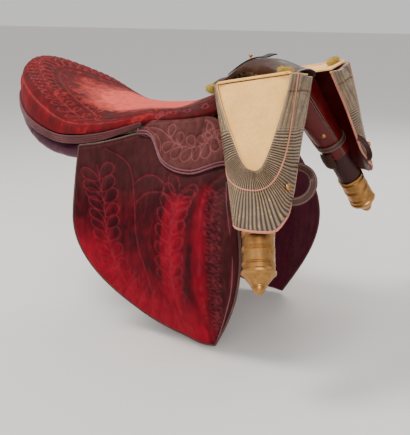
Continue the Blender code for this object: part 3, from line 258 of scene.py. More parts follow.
def ring_piece(name, rings, materials, attributes=None, closed=False, smooth=50.0):
    """A run of rings skinned into a tube, capped unless its last ring meets its first."""
    rings = np.asarray(rings)
    rows, columns = rings.shape[:2]
    faces = grid_faces(rows, columns, wrap=True)
    if closed:
        last = (rows - 1) * columns
        for j in range(columns):
            k = (j + 1) % columns
            faces.append((last + j, j, k, last + k))
    else:
        faces.append(list(range(columns))[::-1])
        faces.append([(rows - 1) * columns + j for j in range(columns)])
    return keep_mesh(name, rings.reshape(-1, 3), faces, materials, attributes, smooth)


def seat_on(piece, body, slot, *nodes):
    """Ties a finished piece to its body and hides the solids it stands for. The slot is not used.
    """
    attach(piece, body)
    if nodes:
        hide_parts(*nodes)
    return piece


print("bench tools ready")

# %% [markdown]
# ## Soft relief from sewn lines
# Quilting is made by sewing two cloths together over wadding: each line of stitches pulls the
# cloth down and the wadding swells between the lines. Carving every lobe would take long, so
# the lines are drawn flat, and each point of a fine grid rises with its distance from the
# nearest line, as a round pillow. The lines themselves are leaves set along a stem.

# %% Stems, leaves and pillows
def smooth_line(points, steps=60):
    """An even line through a few points, by a curve that keeps its direction at each."""
    points = np.asarray(points, float)
    ends = np.vstack([2 * points[0] - points[1], points, 2 * points[-1] - points[-2]])
    out = []
    for s in np.linspace(0, len(points) - 1.000001, steps):
        k = int(s)
        t = s - k
        a, b, c, d = ends[k:k + 4]
        out.append(0.5 * (2 * b + (c - a) * t + (2 * a - 5 * b + 4 * c - d) * t * t
                          + (3 * b - a - 3 * c + d) * t ** 3))
    return np.array(out)


LEAF_POINT = 0.35


def leaf(base, tip, width):
    """Outline of one leaf, from its base round its tip and back."""
    base, tip = np.asarray(base, float), np.asarray(tip, float)
    run = tip - base
    across = np.array([-run[1], run[0]]) / np.linalg.norm(run)
    turn = np.linspace(0, 2 * np.pi, 22)
    along = (1 - np.cos(turn)) / 2
    wide = np.sin(turn) * width / 2 * (along + 0.02) ** LEAF_POINT
    return base + run * along[:, None] + across * wide[:, None]


def leaves_along(stem, first, last, count, length, width, lean, hand, taper=0.0):
    """Leaves on one hand of a stem, leaning back towards its start."""
    made = []
    for k in range(count):
        t = mix(first, last, (k + 0.5) / count)
        spot = t * (len(stem) - 1)
        n = min(int(spot), len(stem) - 2)
        base = mix(stem[n], stem[n + 1], spot - n)
        run = stem[n + 1] - stem[n]
        run /= np.linalg.norm(run)
        out = np.array([-run[1], run[0]]) * hand
        aim = out * math.cos(math.radians(lean)) - run * math.sin(math.radians(lean))
        size = 1 - taper * k / max(count - 1, 1)
        made.append(leaf(base + out * 0.0015, base + aim * length * size, width * size))
    return made


def seam_distance(points, lines):
    """Distance from every flat point to the nearest sewn line."""
    flat = points.reshape(-1, 2)
    best = np.full(len(flat), 1.0)
    for line in lines:
        low, high = line.min(0) - 0.02, line.max(0) + 0.02
        near = np.where(((flat > low) & (flat < high)).all(1))[0]
        if not len(near):
            continue
        spots = flat[near]
        for a, b in zip(line, line[1:]):
            run = b - a
            t = np.clip(((spots - a) @ run) / max(run @ run, 1e-12), 0, 1)
            gap = np.linalg.norm(spots - a - t[:, None] * run, axis=1)
            best[near] = np.minimum(best[near], gap)
    return best.reshape(points.shape[:-1])


def border_of(flat):
    """The four edges of a grid, in order round it."""
    return [flat[0], flat[:, -1], flat[-1][::-1], flat[:, 0][::-1]]


def pillow(gap, reach):
    """Height of the wadding, nothing on the seam and full at a distance from it."""
    t = np.clip(gap / reach, 0, 1)
    return np.sqrt(1 - (1 - t) ** 2)


WAVES, FULL_TURN = 7, 6.28


def wander(x, y, scale, seed):
    """Slow uneven waves, the same on every run."""
    made = np.zeros(np.broadcast(x, y).shape)
    rng = np.random.default_rng(seed)
    for _ in range(WAVES):
        turn = rng.uniform(0, np.pi)
        size = scale * rng.uniform(0.6, 1.8)
        made = made + np.sin((x * math.cos(turn) + y * math.sin(turn)) / size * FULL_TURN
                             + rng.uniform(0, FULL_TURN))
    return made / WAVES


print("a leaf outline has", len(leaf((0, 0), (0.03, 0), 0.02)), "points")

# %% [markdown]
# ## Finishes
# Each finish is a small node group with named inputs: it takes two or three colours and gives
# back the colour, the roughness and a height for the bump. One group can then serve every
# piece of the same stuff. What is the same all over a surface, such as its sheen, is set on
# the shader itself.

# %% Node helpers
def put(tree, kind, inputs=None, **settings):
    made = tree.nodes.new(kind)
    for label, value in settings.items():
        setattr(made, label, value)
    for socket, value in (inputs or {}).items():
        if isinstance(value, bpy.types.NodeSocket):
            tree.links.new(value, made.inputs[socket])
        else:
            made.inputs[socket].default_value = value
    return made


def sum_of(tree, operation, a, b, clamp=False):
    made = put(tree, "ShaderNodeMath", {0: a, 1: b}, operation=operation, use_clamp=clamp)
    return made.outputs[0]


def blended(tree, share, a, b, way="MIX"):
    made = put(tree, "ShaderNodeMix", {0: share, 6: a, 7: b}, data_type="RGBA", blend_type=way)
    return made.outputs[2]


def ramp(tree, value, low, high, out_low=0.0, out_high=1.0):
    made = put(tree, "ShaderNodeMapRange", {0: value, 1: low, 2: high, 3: out_low, 4: out_high})
    return made.outputs[0]


def grain(tree, scale, detail, stretch=None, rough=0.5):
    """Noise in the object's own space, stretched along an axis where the stuff has a direction."""
    where = put(tree, "ShaderNodeTexCoord").outputs["Object"]
    if stretch:
        where = put(tree, "ShaderNodeMapping", {"Vector": where, "Scale": stretch}).outputs[0]
    made = put(tree, "ShaderNodeTexNoise", {"Vector": where, "Scale": scale, "Detail": detail,
                                            "Roughness": rough})
    return made.outputs["Fac"]


def shaded(tree, colour, noise, spread, dark, light, share):
    """A colour that a noise darkens and lightens."""
    shade = ramp(tree, noise, 0.5 - spread, 0.5 + spread, dark, light)
    grey = put(tree, "ShaderNodeCombineColor", {0: shade, 1: shade, 2: shade}).outputs[0]
    return blended(tree, share, colour, grey, "MULTIPLY")


def start_group(name, colours, numbers):
    """A node group that takes colours and numbers, and gives colour, roughness and height."""
    tree = bpy.data.node_groups.new(name, "ShaderNodeTree")
    for label in colours:
        tree.interface.new_socket(label, in_out="INPUT", socket_type="NodeSocketColor")
    for label, value in numbers:
        made = tree.interface.new_socket(label, in_out="INPUT", socket_type="NodeSocketFloat")
        made.default_value = value
    for label, kind in (("Color", "Color"), ("Roughness", "Float"), ("Height", "Float")):
        tree.interface.new_socket(label, in_out="OUTPUT", socket_type="NodeSocket" + kind)
    return tree, put(tree, "NodeGroupInput").outputs


def end_group(tree, colour, rough, height):
    put(tree, "NodeGroupOutput", {"Color": colour, "Roughness": rough, "Height": height})
    return tree


def finish(name, group, colours, numbers, bump, depth, metallic=0.0, sheen=0.0, coat=0.0,
           tint=(1, 1, 1), shine=0.5):
    """One material: its group feeds colour, roughness and bump, and the shader holds the rest."""
    material = bpy.data.materials.new(name)
    material.use_nodes = True
    tree = material.node_tree
    shader = tree.nodes["Principled BSDF"]
    made = put(tree, "ShaderNodeGroup", node_tree=group)
    for label, colour in colours.items():
        made.inputs[label].default_value = (*colour, 1.0)
    for label, value in numbers.items():
        if isinstance(value, str):
            fact = put(tree, "ShaderNodeAttribute", attribute_name=value).outputs["Fac"]
            tree.links.new(fact, made.inputs[label])
        else:
            made.inputs[label].default_value = value
    lift = put(tree, "ShaderNodeBump", {"Strength": bump, "Distance": depth,
                                        "Height": made.outputs["Height"]})
    for source, label in ((made.outputs["Color"], "Base Color"),
                          (made.outputs["Roughness"], "Roughness"), (lift.outputs[0], "Normal")):
        tree.links.new(source, shader.inputs[label])
    for label, value in (("Metallic", metallic), ("Specular IOR Level", shine),
                         ("Sheen Weight", sheen), ("Sheen Roughness", 0.35),
                         ("Sheen Tint", (*tint, 1.0)), ("Coat Weight", coat),
                         ("Coat Roughness", 0.18)):
        shader.inputs[label].default_value = value
    return material


print("finish helpers ready")

# %% [markdown]
# ** Velvet** is a short pile that darkens and lightens as it is brushed. The group mixes three
# colours by two attributes and breaks both with noise. The painted sheen share lays a crimson
# painted sheen over the dark ground. The rubbed share lays pile worn to its ground, and on the
# flaps it also carries painted sheen above and painted shade before the front seam. The seams
# are thin pale lines, partly flattened pile and partly painted sheen along their grooves.

# %% Velvet
def velvet_group():
    tree, take = start_group("pile", ("Ground", "Bright", "Rubbed", "Seam"),
                             (("Bright share", 0.0), ("Rubbed share", 0.0), ("Seam share", 0.0)))
    patch = grain(tree, 26.0, 4.0)
    brush = grain(tree, 95.0, 3.0, (1.0, 1.0, 0.35))
    tuft = grain(tree, 900.0, 2.0)
    broken = sum_of(tree, "ADD", ramp(tree, patch, 0.3, 0.7, -0.22, 0.22),
                    ramp(tree, brush, 0.3, 0.7, -0.13, 0.13))
    # Painted sheen share, and rubbed share: real wear together with painted sheen and painted shade
    # on the flaps.
    lit = sum_of(tree, "ADD", take["Bright share"], broken)
    worn = sum_of(tree, "ADD", take["Rubbed share"], broken)
    colour = blended(tree, ramp(tree, lit, 0.02, 1.10), take["Ground"], take["Bright"])
    colour = blended(tree, ramp(tree, worn, 0.12, 1.05), colour, take["Rubbed"])
    colour = shaded(tree, colour, brush, 0.18, 0.80, 1.16, 0.75)
    # Seam lines: partly flattened pile, partly painted sheen along the seam grooves.
    thread = sum_of(tree, "MULTIPLY", take["Seam share"], ramp(tree, brush, 0.3, 0.6, 0.55, 1.0))
    colour = blended(tree, thread, colour, take["Seam"])
    rough = ramp(tree, patch, 0.3, 0.7, 0.72, 0.95)
    return end_group(tree, colour, rough, sum_of(tree, "ADD", tuft, brush))


VELVET = velvet_group()
PILE = {"Bright share": "bright", "Rubbed share": "rubbed", "Seam share": "seam"}


def velvet(name, ground, bright, rubbed, seam, sheen):
    colours = {"Ground": ground, "Bright": bright, "Rubbed": rubbed, "Seam": seam}
    return finish(name, VELVET, colours, PILE, sheen=sheen, bump=0.35, depth=0.0012,
                  tint=(0.85, 0.22, 0.22), shine=0.12)


# Colours: dark ground, crimson painted sheen, rubbed (wear, and on the flaps painted sheen and
# shade), pale seam lines with painted sheen; then the shader's sheen.
flap_velvet = velvet("flap_pile", (0.034, 0.0014, 0.0040), (0.26, 0.003, 0.016),
                     (0.050, 0.013, 0.013), (0.20, 0.022, 0.034), 0.1)
skirt_velvet = velvet("skirt_pile", (0.060, 0.006, 0.009), (0.12, 0.004, 0.010),
                      (0.112, 0.042, 0.037), (0.27, 0.095, 0.090), 0.2)
seat_velvet = velvet("seat_pile", (0.050, 0.009, 0.009), (0.20, 0.002, 0.008),
                     (0.60, 0.085, 0.065), (0.24, 0.050, 0.050), 0.12)
back_velvet = velvet("flap_lining", (0.055, 0.006, 0.016), (0.08, 0.008, 0.02),
                     (0.07, 0.016, 0.024), (0.08, 0.02, 0.02), 0.1)
print("velvets:", flap_velvet.name, skirt_velvet.name, seat_velvet.name)

# %% [markdown]
# **Leather, felt, braid, metal, wood and linen** are each one group too. Leather has a pebbled
# grain and pale rubbed edges, felt is matted wool with soil in it, braid is silvered thread
# gone dull with specks of the gilt left, and old brass keeps a dark skin in its hollows.

# %% Leather
def leather_group():
    tree, take = start_group("hide", ("Hide", "Worn"), (("Grain", 420.0), ("Wear", 0.5)))
    where = put(tree, "ShaderNodeTexCoord").outputs["Object"]
    pebbles = put(tree, "ShaderNodeTexVoronoi", {"Vector": where, "Scale": take["Grain"]},
                  feature="SMOOTH_F1").outputs["Distance"]
    stains = grain(tree, 34.0, 5.0)
    creases = grain(tree, 60.0, 4.0, (1.0, 1.0, 3.0), 0.7)
    edge = put(tree, "ShaderNodeNewGeometry").outputs["Pointiness"]
    rubbed = sum_of(tree, "ADD", ramp(tree, edge, 0.52, 0.62), ramp(tree, stains, 0.52, 0.75))
    rubbed = sum_of(tree, "MULTIPLY", rubbed, take["Wear"], True)
    colour = blended(tree, rubbed, take["Hide"], take["Worn"])
    colour = shaded(tree, colour, creases, 0.2, 0.7, 1.2, 0.7)
    rough = ramp(tree, stains, 0.3, 0.7, 0.32, 0.62)
    height = sum_of(tree, "ADD", pebbles, sum_of(tree, "MULTIPLY", creases, 1.6))
    return end_group(tree, colour, rough, height)


LEATHER = leather_group()


def leather(name, hide, worn, wear, coat=0.1, bump=0.3, shine=0.3):
    return finish(name, LEATHER, {"Hide": hide, "Worn": worn}, {"Wear": wear}, coat=coat,
                  bump=bump, depth=0.0008, shine=shine)


bridge_leather = leather("bridge_hide", (0.044, 0.021, 0.015), (0.12, 0.07, 0.05), 0.5, 0.0,
                         shine=0.06)
black_leather = leather("black_hide", (0.010, 0.008, 0.009), (0.05, 0.04, 0.04), 0.4, 0.25)
strap_leather = leather("strap_hide", (0.055, 0.019, 0.015), (0.15, 0.07, 0.05), 0.5)
holster_leather = leather("holster_hide", (0.085, 0.0005, 0.0015), (0.16, 0.004, 0.006), 0.3,
                          0.12, 0.2)
tube_leather = leather("tube_hide", (0.026, 0.0022, 0.003), (0.07, 0.008, 0.008), 0.4, 0.05)
panel_hide = leather("panel_hide", (0.062, 0.012, 0.028), (0.15, 0.06, 0.07), 0.4, 0.15)
print("leathers:", sum(1 for m in bpy.data.materials if m.name.endswith("_hide")))

# %% Felt and braid
def felt_group():
    tree, take = start_group("matted_wool", ("Wool", "Soil"), (("Soiling", 0.5),))
    hairs = grain(tree, 1100.0, 3.0, None, 0.7)
    mats = grain(tree, 240.0, 4.0, None, 0.65)
    stains = grain(tree, 30.0, 5.0, None, 0.6)
    share = sum_of(tree, "MULTIPLY", ramp(tree, stains, 0.42, 0.72), take["Soiling"])
    colour = blended(tree, share, take["Wool"], take["Soil"])
    colour = shaded(tree, colour, mats, 0.2, 0.84, 1.1, 0.8)
    return end_group(tree, colour, ramp(tree, mats, 0.3, 0.7, 0.85, 1.0),
                     sum_of(tree, "ADD", hairs, mats))


def braid_group():
    """Flat metal thread: dull silver, with painted shade in the valleys, with gilt specks left on
    the tops.
    """
    tree, take = start_group("dulled_braid", ("Thread", "Valley", "Gilt"), (("Rise", 1.0),))
    weave = grain(tree, 1400.0, 2.0)
    specks = grain(tree, 210.0, 4.0, None, 0.75)
    stains = grain(tree, 45.0, 4.0)
    # Painted shade: the valleys of the ribs and pleats are darkened by the rise attribute.
    low = ramp(tree, take["Rise"], 0.15, 0.75)
    colour = blended(tree, low, take["Valley"], take["Thread"])
    gilt = sum_of(tree, "MULTIPLY", ramp(tree, specks, 0.56, 0.66), ramp(tree, stains, 0.35, 0.6))
    gilt = sum_of(tree, "MULTIPLY", gilt, low, True)
    colour = blended(tree, gilt, colour, take["Gilt"])
    colour = shaded(tree, colour, stains, 0.2, 0.8, 1.15, 0.8)
    return end_group(tree, colour, ramp(tree, specks, 0.3, 0.7, 0.42, 0.7), weave)


FELT = felt_group()
BRAID = braid_group()


def wool(name, clean, soiled, soiling, sheen, bump=0.5, depth=0.0006):
    return finish(name, FELT, {"Wool": clean, "Soil": soiled}, {"Soiling": soiling},
                  sheen=sheen, bump=bump, depth=depth)


cream_felt = wool("cream_wool", (0.98, 0.55, 0.155), (0.60, 0.28, 0.065), 0.4, 0.25, 0.4, 0.0008)
galon = finish("silver_galon", BRAID, {"Thread": (0.27, 0.185, 0.115),
                                       "Valley": (0.045, 0.030, 0.022),
                                       "Gilt": (0.66, 0.45, 0.10)}, {"Rise": "rise"},
               metallic=0.25, bump=0.25, depth=0.0005)
pink_cord = wool("pink_cord", (0.62, 0.22, 0.15), (0.32, 0.10, 0.07), 0.6, 0.2)
yellow_thread = wool("yellow_thread", (0.52, 0.36, 0.05), (0.28, 0.17, 0.03), 0.7, 0.2, 0.6,
                     0.0008)
band_cord = wool("band_cord", (0.110, 0.026, 0.028), (0.050, 0.005, 0.010), 0.7, 0.3)
purple_edge = wool("plum_piping", (0.17, 0.050, 0.065), (0.07, 0.010, 0.020), 0.6, 0.3)
print("felt, braid and cords ready")

# %% Metal, wood and linen
def metal_group():
    tree, take = start_group("tarnish", ("Metal", "Tarnish"), (("Amount", 0.5),))
    spots = grain(tree, 70.0, 6.0, None, 0.65)
    scratches = grain(tree, 500.0, 2.0, (1.0, 1.0, 0.1))
    edge = put(tree, "ShaderNodeNewGeometry").outputs["Pointiness"]
    dull = sum_of(tree, "SUBTRACT", ramp(tree, spots, 0.35, 0.65), ramp(tree, edge, 0.5, 0.6))
    dull = sum_of(tree, "MULTIPLY", dull, take["Amount"], True)
    colour = blended(tree, dull, take["Metal"], take["Tarnish"])
    rough = sum_of(tree, "ADD", ramp(tree, spots, 0.3, 0.7, 0.22, 0.42),
                   ramp(tree, scratches, 0.3, 0.7, 0.0, 0.08))
    return end_group(tree, colour, rough, scratches)


def wood_group():
    tree, take = start_group("beech", ("Early", "Late"), (("Rings", 70.0),))
    where = put(tree, "ShaderNodeTexCoord").outputs["Object"]
    rings = put(tree, "ShaderNodeTexWave", {"Vector": where, "Scale": take["Rings"],
                                            "Distortion": 5.0, "Detail": 3.0}, bands_direction="Y")
    pores = grain(tree, 420.0, 3.0, (0.08, 1.0, 1.0))
    colour = blended(tree, rings.outputs["Fac"], take["Early"], take["Late"])
    return end_group(tree, colour, ramp(tree, pores, 0.3, 0.7, 0.55, 0.8), pores)


def linen_group():
    tree, take = start_group("plain_weave", ("Warp", "Weft"), (("Threads", 900.0),))
    where = put(tree, "ShaderNodeTexCoord").outputs["Object"]
    warp, weft = [put(tree, "ShaderNodeTexWave", {"Vector": where, "Scale": take["Threads"]},
                      bands_direction=way).outputs["Fac"] for way in "XY"]
    cross = sum_of(tree, "MULTIPLY", warp, weft)
    colour = blended(tree, cross, take["Warp"], take["Weft"])
    return end_group(tree, colour, ramp(tree, cross, 0.0, 1.0, 0.95, 0.8), cross)


METAL = metal_group()
old_brass = finish("old_brass", METAL, {"Metal": (0.46, 0.235, 0.075),
                                        "Tarnish": (0.16, 0.075, 0.022)},
                   {"Amount": 0.6}, metallic=1.0, bump=0.12, depth=0.0003)
old_iron = finish("old_iron", METAL, {"Metal": (0.15, 0.14, 0.13),
                                      "Tarnish": (0.085, 0.045, 0.025)},
                  {"Amount": 0.8}, metallic=0.9, bump=0.3, depth=0.0005)
beech = finish("beech_wood", wood_group(), {"Early": (0.42, 0.27, 0.14),
                                            "Late": (0.28, 0.16, 0.075)},
               {}, bump=0.2, depth=0.0005)
linen = finish("linen_web", linen_group(), {"Warp": (0.52, 0.44, 0.31),
                                            "Weft": (0.40, 0.33, 0.22)},
               {}, bump=0.4, depth=0.0005)
print("materials so far:", len(bpy.data.materials))


# %% [markdown]
# ## Cords, stitches and strands by nodes
# Anything that follows a line or repeats along it is made by a small Geometry Nodes tree: a
# cord sweeps a circle along the line, stitches are short grains laid on it at an even pitch,
# and frayed strands are bent hairs scattered over a surface. The sizes are named inputs, and
# the result is kept as a plain mesh.

# %% Trees for lines
def start_tree(name, numbers):
    tree = bpy.data.node_groups.new(name, "GeometryNodeTree")
    tree.interface.new_socket("Geometry", in_out="INPUT", socket_type="NodeSocketGeometry")
    for label, kind, value in numbers:
        made = tree.interface.new_socket(label, in_out="INPUT", socket_type="NodeSocket" + kind)
        if value is not None:
            made.default_value = value
    tree.interface.new_socket("Geometry", in_out="OUTPUT", socket_type="NodeSocketGeometry")
    return tree, put(tree, "NodeGroupInput").outputs


def end_tree(tree, geometry, material):
    whole = put(tree, "GeometryNodeRealizeInstances", {0: geometry}).outputs[0]
    painted = put(tree, "GeometryNodeSetMaterial", {"Geometry": whole, "Material": material})
    put(tree, "NodeGroupOutput", {0: painted.outputs[0]})
    return tree


def cord_tree():
    tree, take = start_tree("Cord along a line", (("Radius", "Float", 0.002), ("Sides", "Int", 8),
                                                  ("Material", "Material", None)))
    line = put(tree, "GeometryNodeMeshToCurve", {0: take["Geometry"]}).outputs[0]
    ring = put(tree, "GeometryNodeCurvePrimitiveCircle",
               {"Resolution": take["Sides"], "Radius": take["Radius"]}).outputs[0]
    swept = put(tree, "GeometryNodeCurveToMesh", {"Curve": line, "Profile Curve": ring,
                                                  "Fill Caps": True}).outputs[0]
    return end_tree(tree, swept, take["Material"])


def stitch_tree():
    tree, take = start_tree("Stitches along a line", (
        ("Pitch", "Float", 0.004), ("Length", "Float", 0.0028), ("Thickness", "Float", 0.0006),
        ("Material", "Material", None)))
    line = put(tree, "GeometryNodeMeshToCurve", {0: take["Geometry"]}).outputs[0]
    even = put(tree, "GeometryNodeResampleCurve", {"Curve": line, "Length": take["Pitch"]},
               mode="LENGTH").outputs[0]
    bead = put(tree, "GeometryNodeMeshUVSphere",
               {"Segments": 6, "Rings": 4, "Radius": 0.5}).outputs[0]
    size = put(tree, "ShaderNodeCombineXYZ", {0: take["Thickness"], 1: take["Thickness"],
                                              2: take["Length"]}).outputs[0]
    along = put(tree, "GeometryNodeInputTangent").outputs[0]
    turn = put(tree, "FunctionNodeAlignRotationToVector", {"Vector": along}, axis="Z").outputs[0]
    laid = put(tree, "GeometryNodeInstanceOnPoints", {"Points": even, "Instance": bead,
                                                      "Rotation": turn, "Scale": size}).outputs[0]
    return end_tree(tree, laid, take["Material"])


def strand_tree():
    tree, take = start_tree("Frayed strands on a surface", (
        ("Density", "Float", 60000.0), ("Length", "Float", 0.006), ("Thickness", "Float", 0.0003),
        ("Seed", "Int", 3), ("Material", "Material", None)))
    spots = put(tree, "GeometryNodeDistributePointsOnFaces",
                {"Mesh": take["Geometry"], "Density": take["Density"], "Seed": take["Seed"]})
    hair = put(tree, "GeometryNodeCurvePrimitiveBezierSegment",
               {"Resolution": 5, "Start": (0, 0, -0.1), "Start Handle": (0.05, 0, 0.3),
                "End Handle": (0.25, 0.05, 0.7), "End": (0.55, 0.1, 0.85)}).outputs[0]
    thin = put(tree, "GeometryNodeCurvePrimitiveCircle", {"Resolution": 4}).outputs[0]
    thick = sum_of(tree, "DIVIDE", take["Thickness"], take["Length"])
    small = put(tree, "GeometryNodeTransform", {0: thin, "Scale": put(
        tree, "ShaderNodeCombineXYZ", {0: thick, 1: thick, 2: thick}).outputs[0]}).outputs[0]
    body = put(tree, "GeometryNodeCurveToMesh", {"Curve": hair, "Profile Curve": small}).outputs[0]
    twist = put(tree, "FunctionNodeRandomValue", {0: (-0.7, -0.7, 0.0), 1: (0.7, 0.7, 6.28),
                                                  "Seed": take["Seed"]}, data_type="FLOAT_VECTOR")
    turned = put(tree, "FunctionNodeRotateRotation",
                 {"Rotation": spots.outputs["Rotation"], "Rotate By": twist.outputs[0]},
                 rotation_space="LOCAL").outputs[0]
    uneven = put(tree, "FunctionNodeRandomValue", {2: 0.5, 3: 1.2, "Seed": take["Seed"]},
                 data_type="FLOAT").outputs[1]
    size = sum_of(tree, "MULTIPLY", uneven, take["Length"])
    laid = put(tree, "GeometryNodeInstanceOnPoints",
               {"Points": spots.outputs[0], "Instance": body, "Rotation": turned,
                "Scale": size}).outputs[0]
    return end_tree(tree, laid, take["Material"])


CORD, STITCH, STRAND = cord_tree(), stitch_tree(), strand_tree()
print("trees:", CORD.name, "|", STITCH.name, "|", STRAND.name)

# %% Run a tree and keep its mesh
CORD_SHARP = 60.0


def run_tree(name, source, tree, values):
    """Runs a tree on a source, keeps what it made as a plain mesh and drops the source."""
    work = source.modifiers.new(name, "NODES")
    work.node_group = tree
    for item in tree.interface.items_tree:
        if item.item_type == "SOCKET" and item.in_out == "INPUT" and item.name in values:
            work[item.identifier] = values[item.name]
    mesh = evaluated_mesh(source)
    mesh.name = name
    bpy.data.objects.remove(source, do_unlink=True)
    shade(mesh, CORD_SHARP)
    return linked(name, mesh)


def line_source(lines):
    """Lines as loose edges, which the trees turn into curves."""
    points, edges = [], []
    for line in lines:
        start = len(points)
        points += [tuple(map(float, p)) for p in line]
        edges += [(start + k, start + k + 1) for k in range(len(line) - 1)]
    mesh = bpy.data.meshes.new("lines")
    mesh.from_pydata(points, edges, [])
    return linked("lines", mesh)


def cords(name, lines, radius, material, body, slot, sides=8):
    made = run_tree(name, line_source(lines), CORD,
                    {"Radius": radius, "Sides": sides, "Material": material})
    return seat_on(made, body, slot)


def stitches(name, lines, material, body, slot, pitch, length, thick):
    made = run_tree(name, line_source(lines), STITCH,
                    {"Pitch": pitch, "Length": length, "Thickness": thick, "Material": material})
    return seat_on(made, body, slot)


print("trees can be run")

# %% [markdown]
# ## Letting the wadding swell
# A stuffed piece looks stuffed because its cloth is pushed from inside. The cloth solver does
# that: an even mesh of the piece is blown up a little with no gravity, its points may move
# only a few millimetres, and the fine piece then takes the same moves.

# %% Cloth pressure
SWELL_FRAMES = 20


def applied(thing):
    """Keeps what the modifiers of a piece made, and drops them."""
    mesh = evaluated_mesh(thing)
    thing.modifiers.clear()
    thing.data = mesh
    return thing


def add_remesh(thing, voxel):
    even = thing.modifiers.new("even", "REMESH")
    even.mode = "VOXEL"
    even.voxel_size = voxel


def places_of(thing):
    return np.array([v.co for v in thing.data.vertices])


def swell(piece, voxel, cap, pressure):
    """How far each part of a closed piece moves under pressure, as (places, moves)."""
    work = linked(piece.name + "_swelling", piece.data.copy())
    add_remesh(work, voxel)
    applied(work)
    rest = places_of(work)
    cloth = work.modifiers.new("cloth", "CLOTH")
    cloth.settings.effector_weights.gravity = 0.0
    for label, value in (("use_pressure", True), ("uniform_pressure_force", pressure),
                         ("quality", 5), ("tension_stiffness", 25), ("compression_stiffness", 8)):
        setattr(cloth.settings, label, value)
    cloth.point_cache.frame_start = 1
    cloth.point_cache.frame_end = SWELL_FRAMES
    for step in range(1, SWELL_FRAMES + 1):
        bpy.context.scene.frame_set(step)
    move = places_of(work.evaluated_get(bpy.context.evaluated_depsgraph_get())) - rest
    bpy.data.objects.remove(work, do_unlink=True)
    bpy.context.scene.frame_set(1)
    far = np.linalg.norm(move, axis=1, keepdims=True)
    return rest, move * np.minimum(1.0, cap / np.maximum(far, 1e-9))


def follow(points, field, share):
    """Moves fine points with the nearest places of a swollen mesh."""
    rest, move = field
    tree = KDTree(len(rest))
    for k, place in enumerate(rest):
        tree.insert(place, k)
    tree.balance()
    out = points.copy()
    for n, place in enumerate(out):
        near = tree.find_n(place, 4)
        weight = np.array([1.0 / (hit[2] + 0.001) for hit in near])
        shift = (move[[hit[1] for hit in near]] * weight[:, None]).sum(0) / weight.sum()
        out[n] += shift * share
    return out


def swollen(piece, voxel, cap, pressure, share):
    moved = follow(places_of(piece), swell(piece, voxel, cap, pressure), share)
    piece.data.vertices.foreach_set("co", moved.ravel())
    piece.data.update()


print("swelling is", "on")

# %% [markdown]
# ## The seat
# The seat is a dished cushion of crimson velvet. Its middle is rubbed to a salmon ground by
# use, and a border of sewn leaves runs round it: a row of rounded lobes round the cantle and
# along the sides, then pointed leaves towards the pommel. The fine grid is laid in turns, and
# the leaves are drawn along the unrolled rim, where one axis runs along the rim and the other
# in from it.

# %% Seat leaves
TURNS = np.linspace(-180.0, 180.0, 641)
SHARES = np.concatenate([np.linspace(0.04, 0.55, 26), np.linspace(0.56, 0.93, 56),
                         np.linspace(0.935, 1.0, 15)])
HALF_RIM = seat_points(np.linspace(180.0, 0.0, 361), 0.90)
RIM_RUN = run_along(HALF_RIM)
RIM_LENGTH = RIM_RUN[-1]


def unrolled(turns, shares):
    """Place along the rim from the middle of the cantle, and distance in from the edge."""
    run = np.interp(180.0 - np.abs(turns), np.linspace(0.0, 180.0, 361), RIM_RUN)
    inward = (1.02 - shares) * rim(turns)[0]
    return np.stack(np.broadcast_arrays(run, inward), -1)


def seat_lines():
    waist, front = 0.66 * RIM_LENGTH, 0.76 * RIM_LENGTH
    stem = smooth_line([(0.0, 0.058), (0.12, 0.054), (0.24, 0.047), (waist, 0.020)], 90)
    lines = [stem, smooth_line([(0.0, 0.016), (waist, 0.012)], 40)]
    lines += leaves_along(stem, 0.0, 0.95, 21, 0.036, 0.0165, 28, -1, 0.45)
    lines += leaves_along(stem, 0.0, 0.85, 15, 0.044, 0.0200, 40, 1, 0.45)
    inner = smooth_line([(0.0, 0.104), (0.12, 0.098), (0.25, 0.080), (0.31, 0.058)], 60)
    lines += [inner] + leaves_along(inner, 0.1, 0.9, 9, 0.026, 0.016, 48, 1, 0.4)
    tip = smooth_line([(front - 0.05, 0.018), (front, 0.030), (RIM_LENGTH, 0.036)], 50)
    lines += [tip] + leaves_along(tip, 0.15, 1.0, 8, 0.021, 0.0125, 38, -1)
    lines += leaves_along(tip, 0.2, 1.0, 8, 0.024, 0.0125, 38, 1)
    return lines


turn_grid, share_grid = grid(TURNS[:-1], SHARES)
seat_flat = unrolled(turn_grid, share_grid)
seat_gap = seam_distance(seat_flat, seat_lines())
print("seat grid", turn_grid.shape, "rim half", round(float(RIM_LENGTH), 3), "m")

# %% Seat cushion
BORDER_REACH = 0.125
PILLOW_HEIGHT = 0.0032
SEAM_WIDTH = 0.0009


